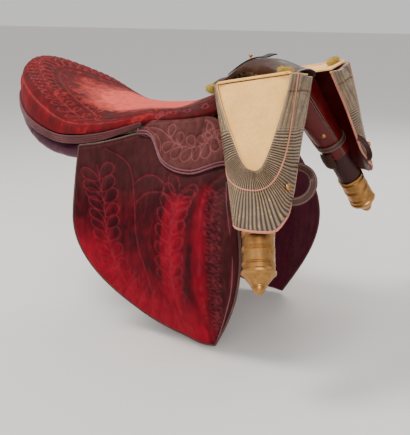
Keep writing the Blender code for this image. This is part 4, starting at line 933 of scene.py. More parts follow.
def seat_face():
    """Points of the seat's face with its quilting, and the numbers its pile needs."""
    inward = seat_flat[..., 1]
    soft = ease((BORDER_REACH - inward) / 0.05)
    relief = (PILLOW_HEIGHT * pillow(seat_gap, 0.0068) - PILLOW_HEIGHT / 2) * soft
    relief *= ease((inward - 0.004) / 0.010)
    here = seat_points(turn_grid, share_grid)
    du = seat_points(turn_grid + 0.5, share_grid) - seat_points(turn_grid - 0.5, share_grid)
    dv = seat_points(turn_grid, np.minimum(share_grid + 0.01, 1)) - seat_points(
        turn_grid, share_grid - 0.01)
    facing = unit(np.cross(dv, du))
    wave = 0.0012 * wander(here[..., 0], here[..., 1], 0.11, 4)
    here = here + facing * (relief + wave * ease((inward - 0.01) / 0.03))[..., None]
    # Pale seam lines: partly flattened pile, partly painted sheen along the grooves.
    seam = np.exp(-(seat_gap / SEAM_WIDTH) ** 2) * soft * 0.8
    middle = 1 - ease((share_grid - 0.30) / 0.42)
    waist = ease((here[..., 0] + 0.235) / 0.16)
    rubbed = mix(0.62, 1.30, waist) * middle
    # Painted sheen: crimson in the seam valleys, along the rim and over the rear middle, less
    # towards the front.
    valley = 1 - pillow(seat_gap, 0.0060)
    bright = 0.20 + 0.55 * valley * soft + 0.32 * ease((0.030 - inward) / 0.018)
    bright = bright + 0.55 * middle * (1 - waist) - 0.30 * ease((here[..., 0] - 0.02) / 0.10)
    return here, {"seam": seam, "rubbed": rubbed, "bright": bright}


UNDER_SHARES = (0.97, 0.90, 0.78, 0.60, 0.40, 0.20)


def make_seat():
    face, facts = seat_face()
    rings = [face[:, k] for k in range(face.shape[1])]
    for share in UNDER_SHARES:
        under = seat_points(TURNS[:-1], share)
        under[:, 2] -= SEAT_THICKNESS - 0.001
        if share > CREST_SHARE:
            under[:, 2] = np.minimum(under[:, 2], rim(TURNS[:-1])[1] + 0.004)
        rings.append(under)
    rings = np.array([r[::-1] for r in rings])
    below = np.zeros((len(UNDER_SHARES), len(TURNS) - 1))
    kept = {label: np.concatenate([values.T[:, ::-1], below]) for label, values in facts.items()}
    return ring_piece("seat_velvet", rings, [seat_velvet], kept, smooth=80.0)


seat = make_seat()
swollen(seat, 0.0055, 0.0030, 2.5, 0.7)
seat_on(seat, "saddle", "seat_velvet", "seat_cushion")
print("seat faces", len(seat.data.polygons))


# %% [markdown]
# ## The corded band
# Under the edge of the seat a band of several covered cords runs round the cantle from waist
# to waist. On the real saddle each is a cord wrapped in a strip of velvet and sewn beside the
# next. A backing strip is skinned ring by ring, and the cords are swept along it.

# %% Band and its cords
BAND_CORDS = 4
BAND_CORD_RADIUS = 0.00195
BAND_PROFILE = ((0.02, 0.0002), (0.25, 0.0004), (0.5, 0.0004), (0.75, 0.0004), (0.98, 0.0002),
                (0.98, -0.0085), (0.5, -0.0085), (0.02, -0.0085))


def band_place(turns, down, proud):
    edge = seat_points(turns, 1.0)
    centre = np.stack([np.full_like(edge[:, 0], SEAT_CENTRE_X), 0 * edge[:, 0], edge[:, 2]], -1)
    from_end = np.minimum(np.arange(len(turns)), np.arange(len(turns))[::-1])
    fade = ease(from_end / (len(turns) * 0.17))
    height = mix(0.45, 1.0, fade) * BAND_HEIGHT
    place = edge + unit(edge - centre) * proud
    place[:, 2] = edge[:, 2] - LAYER_GAP - height * down
    return place


band_turns = np.linspace(72.0, 288.0, 190)
band_turns = np.where(band_turns > 180, band_turns - 360, band_turns)
rings = [band_place(band_turns, down, proud) for down, proud in BAND_PROFILE]
zero = np.zeros(len(rings) * len(band_turns))
band = ring_piece("band_backing", np.stack(rings, 1), [back_velvet],
                  {"seam": zero, "bright": zero, "rubbed": zero})
seat_on(band, "saddle", "band_velvet", "cantle_band")
lines = [band_place(band_turns, (k + 0.5) / BAND_CORDS, 0.0008) for k in range(BAND_CORDS)]
cords("band_cords", lines, BAND_CORD_RADIUS, band_cord, "saddle", "band_velvet", 10)
print("band", round(float(run_along(lines[0])[-1]), 2), "m long")

# %% [markdown]
# ## The flaps
# Each flap is one large leaf of quilted velvet. Its sewing shows two tall fronds that run down
# from the waist, a plain stem between them, a column of short leaves before the front seam
# and long strokes that fan out to the lower edge. All are drawn in side view, in metres.

# %% Flap drawing
FLAP_FRONT_X = 0.205
FLAP_TIP_X = 0.214
FLAP_REAR_DROP = 0.165
FLAP_TIP_DROP = 0.220
FLAP_FRONT_BELLY = 0.066


def flap_plan(u, w):
    """Side view place in the flap: u from its rear edge to its front, w from its top down."""
    top_x = mix(FLAP_REAR_X, FLAP_FRONT_X, u)
    under_band = edge_height(top_x) - BAND_HEIGHT - SKIRT_GAP * 2
    top_z = mix(under_band, -0.004, ease((top_x - SKIRT_REAR_X + 0.012) / 0.03))
    turn = math.radians(88) * np.sqrt(u)
    x = mix(top_x, mix(FLAP_TIP_X, FLAP_REAR_X - 0.006, np.cos(turn)), w)
    z = mix(top_z, -FLAP_REAR_DROP - FLAP_TIP_DROP * np.sin(turn), w)
    return x + FLAP_FRONT_BELLY * u ** 6 * np.sin(np.pi * w ** 1.1), z


REAR_STEM = smooth_line([(-0.052, -0.060), (-0.041, -0.100), (-0.031, -0.130), (-0.026, -0.167),
                         (-0.020, -0.198), (-0.009, -0.242), (0.010, -0.283), (0.031, -0.318)])
MIDDLE_STEM = smooth_line([(-0.041, -0.028), (0.000, -0.049), (0.019, -0.075), (0.036, -0.134),
                           (0.043, -0.174), (0.054, -0.209), (0.074, -0.261), (0.082, -0.317)])
FRONT_STEM = smooth_line([(0.139, -0.088), (0.132, -0.114), (0.128, -0.160), (0.130, -0.227),
                          (0.134, -0.280), (0.144, -0.352)])
BRIGHT_SEAM = smooth_line([(0.217, -0.052), (0.190, -0.082), (0.186, -0.117), (0.191, -0.175),
                           (0.195, -0.243), (0.200, -0.320), (0.205, -0.372)])
COLUMN_STEM = smooth_line([(0.206, -0.081), (0.208, -0.135), (0.217, -0.199), (0.220, -0.270),
                           (0.219, -0.317), (0.212, -0.360)])
BORDER_LINE = smooth_line([(0.222, -0.066), (0.233, -0.108), (0.247, -0.150), (0.2565, -0.198),
                           (0.2545, -0.250), (0.243, -0.292), (0.228, -0.332), (0.212, -0.368)])


FAN_STROKES = 13


def flap_lines():
    lines = [REAR_STEM, MIDDLE_STEM, FRONT_STEM, BRIGHT_SEAM, COLUMN_STEM, BORDER_LINE]
    lines += leaves_along(REAR_STEM, 0.04, 0.84, 8, 0.037, 0.0285, 38, 1, 0.10)
    lines += leaves_along(REAR_STEM, 0.06, 0.80, 9, 0.044, 0.0230, 40, -1, 0.15)
    lines += leaves_along(FRONT_STEM, 0.06, 0.86, 9, 0.044, 0.0260, 40, -1, 0.12)
    lines += leaves_along(FRONT_STEM, 0.02, 0.90, 10, 0.038, 0.0235, 42, 1, 0.12)
    lines += leaves_along(COLUMN_STEM, 0.02, 0.95, 20, 0.022, 0.0125, 44, 1, 0.35)
    lines += leaves_along(COLUMN_STEM, 0.02, 0.95, 20, 0.015, 0.0110, 44, -1, 0.2)
    lines.append(smooth_line([(0.028, -0.090), (0.050, -0.074), (0.076, -0.070), (0.098, -0.079)]))
    lines.append(smooth_line([(0.038, -0.123), (0.062, -0.103), (0.096, -0.096), (0.116, -0.102)]))
    for k in range(FAN_STROKES):
        t = k / (FAN_STROKES - 1)
        start = np.array([mix(-0.020, 0.132, t), mix(-0.262, -0.352, t ** 1.2)])
        lean = math.radians(mix(214, 250, t))
        run = np.array([math.cos(lean), math.sin(lean)])
        bow = np.array([run[1], -run[0]]) * 0.004 * (-1) ** k
        lines.append(smooth_line([start - run * 0.028, start + bow, start + run * 0.040], 14))
    return lines


t_grid, w_grid = grid(np.linspace(0, 1, 171), np.linspace(0, 1, 181))
flap_x, flap_z = flap_plan(t_grid ** 1.6, w_grid)
flap_flat = np.stack([flap_x, flap_z], -1)
flap_border = border_of(flap_flat)
flap_gap = seam_distance(flap_flat, flap_lines())
flap_rim = seam_distance(flap_flat, flap_border)
print("flap grid", flap_x.shape, "lines", len(flap_lines()))

# %% [markdown]
# The flap's colour carries painted light: a crimson painted sheen low down at the rear, along the
# front stem and beside the front seam, a brown grey bloom above that is partly wear where legs
# have brushed the pile and partly painted sheen, and painted shade on the strip before the front
# seam.

# %% Flap piece
SKIRT_LOW_X = np.array([0.018, 0.052, 0.090, 0.150, 0.214])
SKIRT_LOW_Z = np.array([-0.001, -0.006, -0.04702, -0.060, -0.040])


def skirt_low(x):
    return smooth_curve(SKIRT_LOW_X, SKIRT_LOW_Z, x)


def near_line(points, line, width):
    return np.exp(-(seam_distance(points, [line]) / width) ** 2)


def flap_facts():
    x, z = flap_flat[..., 0], flap_flat[..., 1]
    covered = ease((z - skirt_low(np.clip(x, SKIRT_REAR_X, SKIRT_FRONT_X)) + 0.010) / 0.010)
    covered *= ease((x - SKIRT_REAR_X + 0.01) / 0.01)
    low_rear = flap_flat[:, -1][: int(len(flap_flat) * 0.93)]
    # Painted sheen: crimson low at the rear, along the front stem, on the fold by the bright seam
    # and in the seam valleys; the front strip gets none and is left in painted shade.
    bright = 1.10 * near_line(flap_flat, low_rear, 0.075) * ease((-z - 0.15) / 0.09)
    bright = np.maximum(bright, 0.80 * near_line(flap_flat, FRONT_STEM[12:], 0.024))
    bright = np.maximum(bright, 0.58 * near_line(flap_flat, BRIGHT_SEAM[10:], 0.012))
    bright = bright + 0.28 * (1 - pillow(flap_gap, 0.006)) * (1 - ease((x - 0.180) / 0.015))
    bright = bright + 0.18 * ease((-z - 0.10) / 0.15) * (1 - ease((x - 0.195) / 0.015))
    # Rubbed: the grey brown bloom on the upper flap, partly wear and partly painted sheen, and
    # painted shade on the strip before the front seam.
    rubbed = 0.80 * (1 - ease((-z - 0.05) / 0.12)) + 0.50 * ease((x - 0.20) / 0.02)
    rubbed = np.maximum(rubbed - 1.1 * bright, 0.05)
    # Pale seam lines: partly flattened pile, partly painted sheen along the grooves.
    seam = 0.75 * np.exp(-(flap_gap / SEAM_WIDTH) ** 2) * (1 - covered)
    relief = 0.0034 * pillow(flap_gap, 0.0085) * ease((flap_rim - 0.0015) / 0.008)
    relief += 0.0012 * wander(x, z, 0.12, 9) * ease(flap_rim / 0.02) - 0.0010
    relief *= 1 - covered
    return relief, {"seam": seam, "bright": bright, "rubbed": rubbed}


FLAP_THICKNESS = 0.0040
flap_relief, flap_marks = flap_facts()
for name, side in SIDES:
    face = on_side(flap_x, flap_z, flap_relief, side)
    back = on_side(flap_x, flap_z, -FLAP_THICKNESS, side)
    flap = sheet_piece(name + "_flap_quilt", face, back, [flap_velvet, back_velvet], flap_marks,
                       80.0)
    seat_on(flap, name + "_flap", "flap_velvet", name + "_flap")
    edge_line = np.concatenate(flap_border)
    keep = np.concatenate([[True], np.linalg.norm(np.diff(edge_line, axis=0), axis=1) > 0.0004])
    edge_line = edge_line[keep]
    rim_points = on_side(edge_line[:, 0], edge_line[:, 1], -0.0018, side)
    cords(name + "_flap_binding", [rim_points], 0.0023, strap_leather, name + "_flap",
          "flap_velvet")
    piping = on_side(BORDER_LINE[:, 0], BORDER_LINE[:, 1], 0.0006, side)
    cords(name + "_flap_piping", [piping], 0.0011, purple_edge, name + "_flap", "flap_velvet", 6)
print("flap faces", len(flap.data.polygons))

# %% [markdown]
# ## The skirts
# A short skirt covers the stirrup bar and lies over the top of the flap. A scrolled stem with
# plump leaves on both hands is sewn into it, and two cords bind its scalloped edge.

# %% Skirts
SKIRT_STEM = smooth_line([(0.030, 0.010), (0.067, 0.011), (0.093, -0.001), (0.115, -0.013),
                          (0.139, -0.016), (0.162, -0.011), (0.176, 0.001), (0.178, 0.014),
                          (0.168, 0.027), (0.150, 0.030)], 80)


def skirt_lines():
    lines = [SKIRT_STEM, smooth_line([(0.025, 0.018), (0.065, 0.027), (0.118, 0.037),
                                      (0.150, 0.041), (0.176, 0.041)])]
    lines += leaves_along(SKIRT_STEM, 0.26, 0.80, 7, 0.027, 0.0215, 30, -1)
    lines += leaves_along(SKIRT_STEM, 0.18, 0.98, 7, 0.024, 0.0180, 30, 1, 0.2)
    lines.append(leaf((0.060, 0.002), (0.078, -0.030), 0.018))
    lines.append(leaf((0.040, 0.008), (0.062, -0.010), 0.012))
    lines.append(leaf((0.186, 0.010), (0.206, -0.012), 0.016))
    return lines


sx, sw = grid(np.linspace(SKIRT_REAR_X, SKIRT_FRONT_X, 111), np.linspace(0, 1, 56))
skirt_top = edge_height(np.minimum(sx, 0.146)) - SKIRT_GAP
skirt_top = skirt_top - 0.030 * ease((sx - 0.165) / 0.05)
skirt_top = skirt_top - (BAND_HEIGHT + LAYER_GAP) * 0.75 * (1 - ease((sx - SKIRT_REAR_X) / 0.03))
sz = mix(skirt_top, skirt_low(sx), sw)
skirt_flat = np.stack([sx, sz], -1)
skirt_gap = seam_distance(skirt_flat, skirt_lines())
skirt_rim = seam_distance(skirt_flat, border_of(skirt_flat))
SKIRT_THICKNESS = 0.004
relief = 0.0034 * pillow(skirt_gap, 0.0072) * ease((skirt_rim - 0.002) / 0.006) - 0.0012
# Pale seam lines partly painted sheen, crimson painted sheen in the seam valleys, and the rubbed
# share growing on the pillow tops.
marks = {"seam": 0.75 * np.exp(-(skirt_gap / SEAM_WIDTH) ** 2),
         "bright": 0.55 * (1 - pillow(skirt_gap, 0.006)),
         "rubbed": 0.35 + 0.30 * pillow(skirt_gap, 0.007)}
for name, side in SIDES:
    face = on_side(sx, sz, SKIRT_GAP + SKIRT_THICKNESS + relief, side)
    back = on_side(sx, sz, SKIRT_GAP + 0.0002, side)
    skirt = sheet_piece(name + "_skirt_quilt", face, back, [skirt_velvet], marks, 80.0)
    seat_on(skirt, name + "_skirt", "skirt_velvet", name + "_skirt")
    low = np.concatenate([skirt_flat[0, 20:], skirt_flat[1:, -1], skirt_flat[-1, ::-1][1:40]])
    pipes = [on_side(low[:, 0], low[:, 1], SKIRT_GAP + 0.0026, side),
             on_side(low[:, 0], low[:, 1] + 0.0046, SKIRT_GAP + 0.0042, side)]
    cords(name + "_skirt_piping", pipes, 0.0017, purple_edge, name + "_skirt", "skirt_velvet")
print("skirt faces", len(skirt.data.polygons))

# %% [markdown]
# ## Stuffed and cut leather copies
# The panels below, the pad of the bridge and the holster pads are stuffed leather. They start
# from their own solids: an even mesh is made slightly smaller, blown up by the cloth solver
# and smoothed once. Straps are only cut more finely, because a remesh would eat them.

# %% Stuffed copies
def finished_copy(thing, node, slot, material, levels):
    """Divides a copy once more or twice, paints it and lets it stand for its node."""
    thing.modifiers.new("finer", "SUBSURF").levels = levels
    applied(thing)
    thing.data.materials.clear()
    thing.data.materials.append(material)
    thing.data.shade_smooth()
    return seat_on(thing, "saddle", slot, node)


def stuffed(node, name, slot, material, voxel, cap):
    """A plump copy of a soft solid."""
    thing = linked(name, NODES[node].data.copy())
    inset = thing.modifiers.new("inset", "DISPLACE")
    inset.mid_level = 0.0
    inset.strength = -0.4 * cap
    add_remesh(thing, voxel)
    applied(thing)
    swollen(thing, voxel, cap, 4.0, 0.8)
    thing.modifiers.new("relax", "SMOOTH").iterations = 4
    finished_copy(thing, node, slot, material, 1)


def finer_copy(node, name, slot, material, levels):
    """A copy of a cut strap or web with softer edges."""
    thing = linked(name, NODES[node].data.copy())
    round_off = thing.modifiers.new("round", "BEVEL")
    round_off.width = 0.0004
    round_off.segments = 2
    round_off.limit_method = "ANGLE"
    round_off.angle_limit = math.radians(50)
    finished_copy(thing, node, slot, material, levels)


for name, side in SIDES:
    stuffed(name + "_panel", name + "_panel_stuffed", "panel_leather", panel_hide, 0.0055,
            0.0030)
    stuffed(name + "_holster_pad", name + "_holster_pad_stuffed", "holster_pad_leather",
            bridge_leather, 0.0030, 0.0015)
    for place in ("front", "rear"):
        finer_copy(f"{name}_{place}_billet", f"{name}_{place}_girth_strap", "billet_leather",
                   strap_leather, 1)
stuffed("bridge_pad", "bridge_pad_stuffed", "bridge_pad_leather", black_leather, 0.0035, 0.0012)
finer_copy("seat_webbing", "woven_web", "webbing_linen", linen, 2)
print("stuffed pieces done")

# %% [markdown]
# ## The holster covers
# Each cover is cut from cream felt and hangs over its holster: one wing behind, one in front.
# A broad grey galon is sewn over it, with a V of felt left bare. On the straight runs the
# galon lies flat and shows its lengthwise ribs. Round the bend it is too long on the inside,
# so it is gathered into small radial pleats. Pink piping closes both edges.

# %% Cover surface
# From the top to the hem: rear turn, front turn, middle x, half length, middle y, half depth,
# extra depth inward, height.
COVER_KEYS = ((-112.0, -98.0), (132.0, 104.0), (0.263, 0.327), (0.075, 0.041), (0.105, 0.236),
              (0.046, 0.043), (0.016, 0.0), (0.128, -0.118))
COVER_SQUARENESS = (0.42, 0.92)
COVER_TOP_SLOPE = 0.18
COVER_FRONT_X = 0.338


def squared(wave, power):
    """A cosine or sine bent towards a square's."""
    return np.sign(wave) * np.abs(wave) ** power


def cover_form(u, v):
    u, v = np.broadcast_arrays(np.asarray(u, float), np.asarray(v, float))
    rear, front, x, length, y, depth, inward, z = [mix(*pair, v) for pair in COVER_KEYS]
    turn = np.radians(mix(rear, front, (u + 1) / 2))
    power = mix(*COVER_SQUARENESS, ease(v))
    c, s = squared(np.cos(turn), power), squared(np.sin(turn), power)
    x = x + length * s
    y = y + (depth + np.where(c < 0, inward, 0.0)) * c
    z = z + COVER_TOP_SLOPE * np.maximum(1 - v, 0) ** 1.5 * (x - COVER_FRONT_X)
    z = z - np.maximum(1 - v, 0) ** 3 * 0.010 * ease((0.135 - y) / 0.06)
    z = z + 0.024 * ease((np.abs(u) - 0.45) / 0.55) * ease((v - 0.70) / 0.30)
    return np.stack([x, y, z], -1)


def cover_point(u, v, out, side):
    step = 0.03
    run_u = cover_form(u + step, v) - cover_form(u - step, v)
    run_v = cover_form(u, np.minimum(v + step, 1.0)) - cover_form(u, np.maximum(v - step, 0.0))
    place = cover_form(u, v) + unit(np.cross(run_u, run_v)) * np.asarray(out, float)[..., None]
    place[..., 1] *= side
    return place


def even_line(points):
    """A line in the cover's own (u, v), with its even length from 0 to 1 beside it."""
    line = smooth_line(points, 400)
    run = run_along(cover_form(line[:, 0], line[:, 1]))
    return line, run / run[-1]


BARE_V = even_line([(-0.46, 0.006), (-0.40, 0.13), (-0.32, 0.28), (-0.225, 0.43), (-0.145, 0.54),
                    (-0.075, 0.595), (0.0, 0.61), (0.07, 0.585), (0.13, 0.52), (0.19, 0.41),
                    (0.245, 0.28), (0.31, 0.13), (0.345, 0.006)])
PIPED = even_line([(-0.90, 0.006), (-0.88, 0.30), (-0.80, 0.53), (-0.62, 0.645), (-0.30, 0.715),
                   (0.0, 0.735), (0.25, 0.70), (0.41, 0.61), (0.50, 0.46), (0.525, 0.25),
                   (0.53, 0.006)])
FRONT_HEM = [(0.0, 0.975), (0.50, 0.975), (0.85, 0.975), (0.955, 0.95), (0.975, 0.85),
             (0.975, 0.60), (0.975, 0.30), (0.975, 0.006)]
HEM = even_line([(-u, v) for u, v in FRONT_HEM[:0:-1]] + FRONT_HEM)


def galon_border(t):
    """Inner and outer edge of the galon, from the rear top round the hem to the front top."""
    bend = np.abs(t - 0.5) * 2
    spread = 0.55 * bend + 0.45 * (1 - np.exp(-bend / 0.12))
    outward = 0.5 + 0.5 * np.sign(t - 0.5) * spread
    first = [np.interp(t, BARE_V[1], BARE_V[0][:, k]) for k in (0, 1)]
    last = [np.interp(outward, HEM[1], HEM[0][:, k]) for k in (0, 1)]
    return first, last, bend


def surface_area(face):
    """Area of a grid of points."""
    a, b = face[1:, :-1] - face[:-1, :-1], face[:-1, 1:] - face[:-1, :-1]
    return float(np.linalg.norm(np.cross(a, b), axis=-1).sum())


print("cover hem", np.round(cover_form(0.0, 1.0), 3))

# %% Felt wraps
def felt_wrap(name, side):
    u, v = grid(np.linspace(-0.975, 0.975, 141), np.linspace(0.006, 0.975, 91))
    inside = np.minimum(0.975 - np.abs(u), np.minimum(v, 0.975 - v))
    sag = (0.0011 * wander(u * 0.2, v * 0.26, 0.08, 31) - 0.0010) * ease(inside / 0.15)
    face, back = cover_point(u, v, sag, side), cover_point(u, v, sag - 0.0024, side)
    wrap = sheet_piece(name + "_cover_felt", face, back, [cream_felt, holster_leather])
    seat_on(wrap, name + "_cover", "cover_felt", name + "_cover_wrap")
    return wrap, surface_area(face)


# %% Galon
GATHERED_TO = 0.42
PLEAT_PITCH = 0.0054
RIBS = 8
GALON_LIFT = 0.0030
PLEAT_HEIGHT = 0.0022


def galon_relief(w, bend, run):
    """Pleats round the bend, ribs along the straights, both from 0 to 1."""
    gathered = 1 - ease((bend - GATHERED_TO) / 0.10)
    uneven = 0.9 * wander(run, w * 0.05, 0.03, 17)
    pleat = 0.5 + 0.5 * np.sin(2 * np.pi * run / PLEAT_PITCH + 2.2 * uneven)
    pleat = pleat ** 0.8 * (0.75 + 0.25 * np.sin(np.pi * np.clip(w, 0, 1)))
    rib = np.abs(np.sin(np.pi * w * RIBS)) ** 0.6
    weave = 0.20 * np.sin(2 * np.pi * run / 0.0021)
    return gathered * pleat + (1 - gathered) * (0.45 * rib + weave + 0.35)


def galon_lines(side, places, share, lift):
    first, last, _ = galon_border(places)
    u, v = mix(first[0], last[0], share), mix(first[1], last[1], share)
    return cover_point(u, v, lift + 0 * places, side)


def galon_piece(name, side):
    t = np.linspace(0, 1, 6001)
    middle = galon_lines(side, t, 0.55, 0.0)
    run = run_along(middle)
    even = np.linspace(0, run[-1], 821)
    t = np.interp(even, run, t)[:, None]
    w = np.linspace(0, 1, 49)[None, :]
    first, last, bend = galon_border(t)
    u, v = mix(first[0], last[0], w), mix(first[1], last[1], w)
    rise = galon_relief(w, bend, even[:, None])
    edge = ease(np.minimum(np.minimum(w, 1 - w) / 0.05, 1))
    face = cover_point(u, v, GALON_LIFT + (PLEAT_HEIGHT * rise + 0.0006) * edge, side)
    back = cover_point(u, v, 0.0006 + 0 * u, side)
    lace = sheet_piece(name + "_cover_galon", face, back, [galon], {"rise": rise}, 80.0)
    return seat_on(lace, name + "_cover", "cover_lace", name + "_cover_lace")


def inner_line(side, aside):
    """The inner piping's line, or one that runs beside it towards the hem."""
    v = np.clip(PIPED[0][:, 1] + aside * ease(PIPED[0][:, 1] / 0.6), 0.006, 0.975)
    return cover_point(PIPED[0][:, 0] * (1 + aside), v, 0.0050, side)


def cover_pipings(name, side):
    t = np.linspace(0, 1, 260)
    for label, line, radius, material, sides in (
            ("piping", galon_lines(side, t, 1.0, 0.0028), 0.0022, pink_cord, 8),
            ("inner_piping", inner_line(side, 0.0), 0.0013, pink_cord, 8),
            ("felt_edge", galon_lines(side, t, 0.0, 0.0026), 0.0008, cream_felt, 6)):
        cords(f"{name}_cover_{label}", [line], radius, material, name + "_cover", "cover_lace",
              sides)
    stitches(name + "_cover_stitches", [inner_line(side, 0.022)], yellow_thread,
             name + "_cover", "cover_lace", 0.0065, 0.0040, 0.0008)


for name, side in SIDES:
    wrap, wrap_area = felt_wrap(name, side)
    galon_piece(name, side)
    cover_pipings(name, side)
print("felt of one cover", round(wrap_area, 4), "square metres")

# %% [markdown]
# ### Tops, rolls, studs and loops
# The top of a cover is felt too, folded over its outer edge. The galon's cut ends are rolled
# up at its corners and bound with yellow silk, which has frayed. A brass stud sits on the
# front wing, and a strap loop is sewn to its edge.

# %% Cover tops
def cover_top_line(x):
    return COVER_KEYS[-1][0] + COVER_TOP_SLOPE * (x - COVER_FRONT_X)


TOP_REAR_X, TOP_FRONT_X = 0.1934, 0.3318


def cover_top_grid(side, lift):
    x, w = grid(np.linspace(TOP_REAR_X, TOP_FRONT_X, 71), np.linspace(0, 1, 41))
    corner = ease((0.010 - np.minimum(x - TOP_REAR_X, TOP_FRONT_X - x)) / 0.010)
    y = mix(0.0620, 0.1508 - 0.006 * corner, w)
    wave = 0.0007 * wander(x, y, 0.05, 8)
    fold = 0.0022 * ease((w - 0.93) / 0.07)
    z = cover_top_line(x) - 0.010 * (1 - w) + 0.0009 + lift + (wave - fold) * (lift > 0)
    return np.stack([x, y * side, z], -1)


for name, side in SIDES:
    face = cover_top_grid(side, 0.0030)
    top = sheet_piece(name + "_cover_top_felt", face, cover_top_grid(side, 0.0), [cream_felt])
    seat_on(top, name + "_cover", "cover_felt", name + "_cover_top")
    fold = face[3:-3, -1] + np.array([0, 0.0004 * side, 0.0006])
    cords(name + "_top_piping", [fold], 0.0017, cream_felt, name + "_cover", "cover_lace")
    cords(name + "_top_braid", [face[2:-2, -3] + [0, 0, 0.0012], face[2:-2, -6] + [0, 0, 0.0012]],
          0.0012, cream_felt, name + "_cover", "cover_lace", 6)

# %% Rolled silk
THREADS = 6


def silk_roll(name, label, side, x, radius, lift):
    y = np.linspace(0.095, 0.145, 41)
    centre = np.stack([0 * y + x, y * side,
                       cover_top_line(x) + lift - 0.010 * (0.151 - y) / 0.089], -1)
    turn = np.linspace(0, 2 * np.pi, 33)[:-1]
    end = np.sqrt(np.clip(1 - (np.abs(np.linspace(-1, 1, 41)) ** 9), 0.15, 1))
    core = 0.80 * radius * end
    rings = centre[:, None] + core[:, None, None] * np.stack(
        [np.cos(turn), 0 * turn, np.sin(turn)], -1)[None]
    title, body = f"{name}_{label}_roll", name + "_cover"
    roll = ring_piece(title, rings, [yellow_thread])
    seat_on(roll, body, "roll_lace", f"{name}_{label}_cover_roll")
    s, known = np.linspace(0, 1, 300), np.linspace(0, 1, 41)
    at = np.stack([np.interp(s, known, centre[:, k]) for k in range(3)], -1)
    reach = 0.84 * radius * np.interp(s, known, end)[:, None]
    lines = []
    for start in range(THREADS):
        spin = 2 * np.pi * (start / THREADS + 2.6 * s)
        lines.append(at + np.stack([np.cos(spin), 0 * s, np.sin(spin)], -1) * reach)
    cords(title + "_threads", lines, 0.17 * radius, yellow_thread, body, "roll_lace", 6)
    skin = linked(title + "_skin", roll.data.copy())
    frayed = run_tree(title + "_strands", skin, STRAND, {
        "Density": 300000.0, "Length": 0.0042, "Thickness": 0.00022, "Seed": 5,
        "Material": yellow_thread})
    seat_on(frayed, body, "roll_lace")


for name, side in SIDES:
    silk_roll(name, "rear", side, 0.17826, 0.0075, -0.004)
    silk_roll(name, "front", side, 0.313, 0.0055, 0.0097)

# %% Studs and strap loops
def turned(name, base, away, profile, material):
    """A turned part from heights and radii along its axis."""
    away = unit(np.asarray(away, float))
    lead = unit(np.cross(away, [0.0, 0.0, 1.0] if abs(away[2]) < 0.9 else [1.0, 0.0, 0.0]))
    other = np.cross(away, lead)
    turn = np.linspace(0, 2 * np.pi, 33)[:-1]
    ring = lead * np.cos(turn)[:, None] + other * np.sin(turn)[:, None]
    rings = [base + away * h + ring * r for h, r in profile]
    return ring_piece(name, rings, [material], smooth=40.0)


def strap_loop(side, reach, share, out):
    low, high = cover_point(0.95, 0.88, 0.0044, 1), cover_point(0.95, 0.62, 0.0044, 1)
    facing = np.array([0.3, 1.0, 0.0]) / math.hypot(0.3, 1.0)
    away = np.array([1.0, -0.3, 0.0]) / math.hypot(0.3, 1.0)
    turn = np.linspace(0, np.pi, 81)[:, None]
    path = (low + high) / 2 + (low - high) / 2 * np.cos(turn) + away * reach * np.sin(turn)
    path = path + facing * 0.002 * np.sin(turn)
    across = unit(np.cross(unit(np.gradient(path, axis=0)), facing))
    place = path[:, None] + across[:, None] * (0.014 * (np.asarray(share) - 0.5))[None, :, None]
    return (place + facing * out) * [1, side, 1]


STUD = ((0, 0.0032), (0.0015, 0.0027), (0.0022, 0.0030), (0.0030, 0.0050), (0.0042, 0.0058),
        (0.0060, 0.0060), (0.0076, 0.0052), (0.0086, 0.0036), (0.0091, 0.0016))
for (name, side), reach in zip(SIDES, (0.030, 0.012)):
    base, near = cover_point(0.62, 0.72, 0.0034, side), cover_point(0.62, 0.72, 0.010, side)
    stud = turned(name + "_cover_stud_head", base, near - base, STUD, old_brass)
    seat_on(stud, name + "_cover", "stud_brass", name + "_cover_stud")
    shares = np.linspace(0, 1, 9)
    crown = 0.0005 * np.sin(np.pi * shares)[None, :, None]
    face = strap_loop(side, reach, shares, 0.0) + np.array([0, 1, 0]) * side * crown
    loop = sheet_piece(name + "_strap_loop", face, strap_loop(side, reach, shares, -0.0022),
                       [strap_leather])
    seat_on(loop, name + "_cover", "cover_strap_leather", name + "_cover_strap")
    edges = strap_loop(side, reach, [0.16, 0.84], 0.0003)
    stitches(name + "_loop_stitches", [edges[:, 0], edges[:, 1]], linen, name + "_cover",
             "cover_strap_leather", 0.0032, 0.0022, 0.0006)
print("covers done")

# %% [markdown]
# ## The holsters
# A holster is a round leather tube with a brass tip. A softer red sleeve opens over its mouth,
# glossy from handling, with a bound lip and a sewn seam down its inner side. A keeper strap
# goes round it above a stuffed pad.

# %% Holster places
MOUTH, TIP = np.array([0.250, 0.100, 0.088]), np.array([0.351, 0.294, -0.208])
AXIS = unit(TIP - MOUTH)
AHEAD = unit(np.array([1.0, 0.0, 0.0]) - AXIS * AXIS[0])
INWARD = np.cross(AXIS, AHEAD)


def round_holster(s, along, across, degrees, side, shift=0.0):
    s, along, across, degrees, shift = np.broadcast_arrays(s, along, across, degrees, shift)
    turn = np.radians(degrees)
    place = MOUTH + AXIS * s[..., None] + INWARD * (shift + across * np.sin(turn))[..., None]
    place = place + AHEAD * (along * np.cos(turn))[..., None]
    return place * [1, side, 1]


SLEEVE_LENGTH = 0.190


def sleeve_size(s):
    t = ease(np.asarray(s, float) / SLEEVE_LENGTH)
    return mix(0.036, 0.0288, t), mix(0.044, 0.0288, t), mix(0.012, 0.0, t)


def sleeve_line(s, degrees, out, side):
    along, across, shift = sleeve_size(s)
    return round_holster(s, along + out, across + out, degrees, side, shift)


def around(sides):
    """Even degrees round a tube, without the last that meets the first."""
    return np.linspace(0, 360, sides + 1)[:-1]


def tube_rings(profile, side, sides):
    turn = around(sides)
    return np.stack([round_holster(s, r, r, turn, side) for s, r in profile])


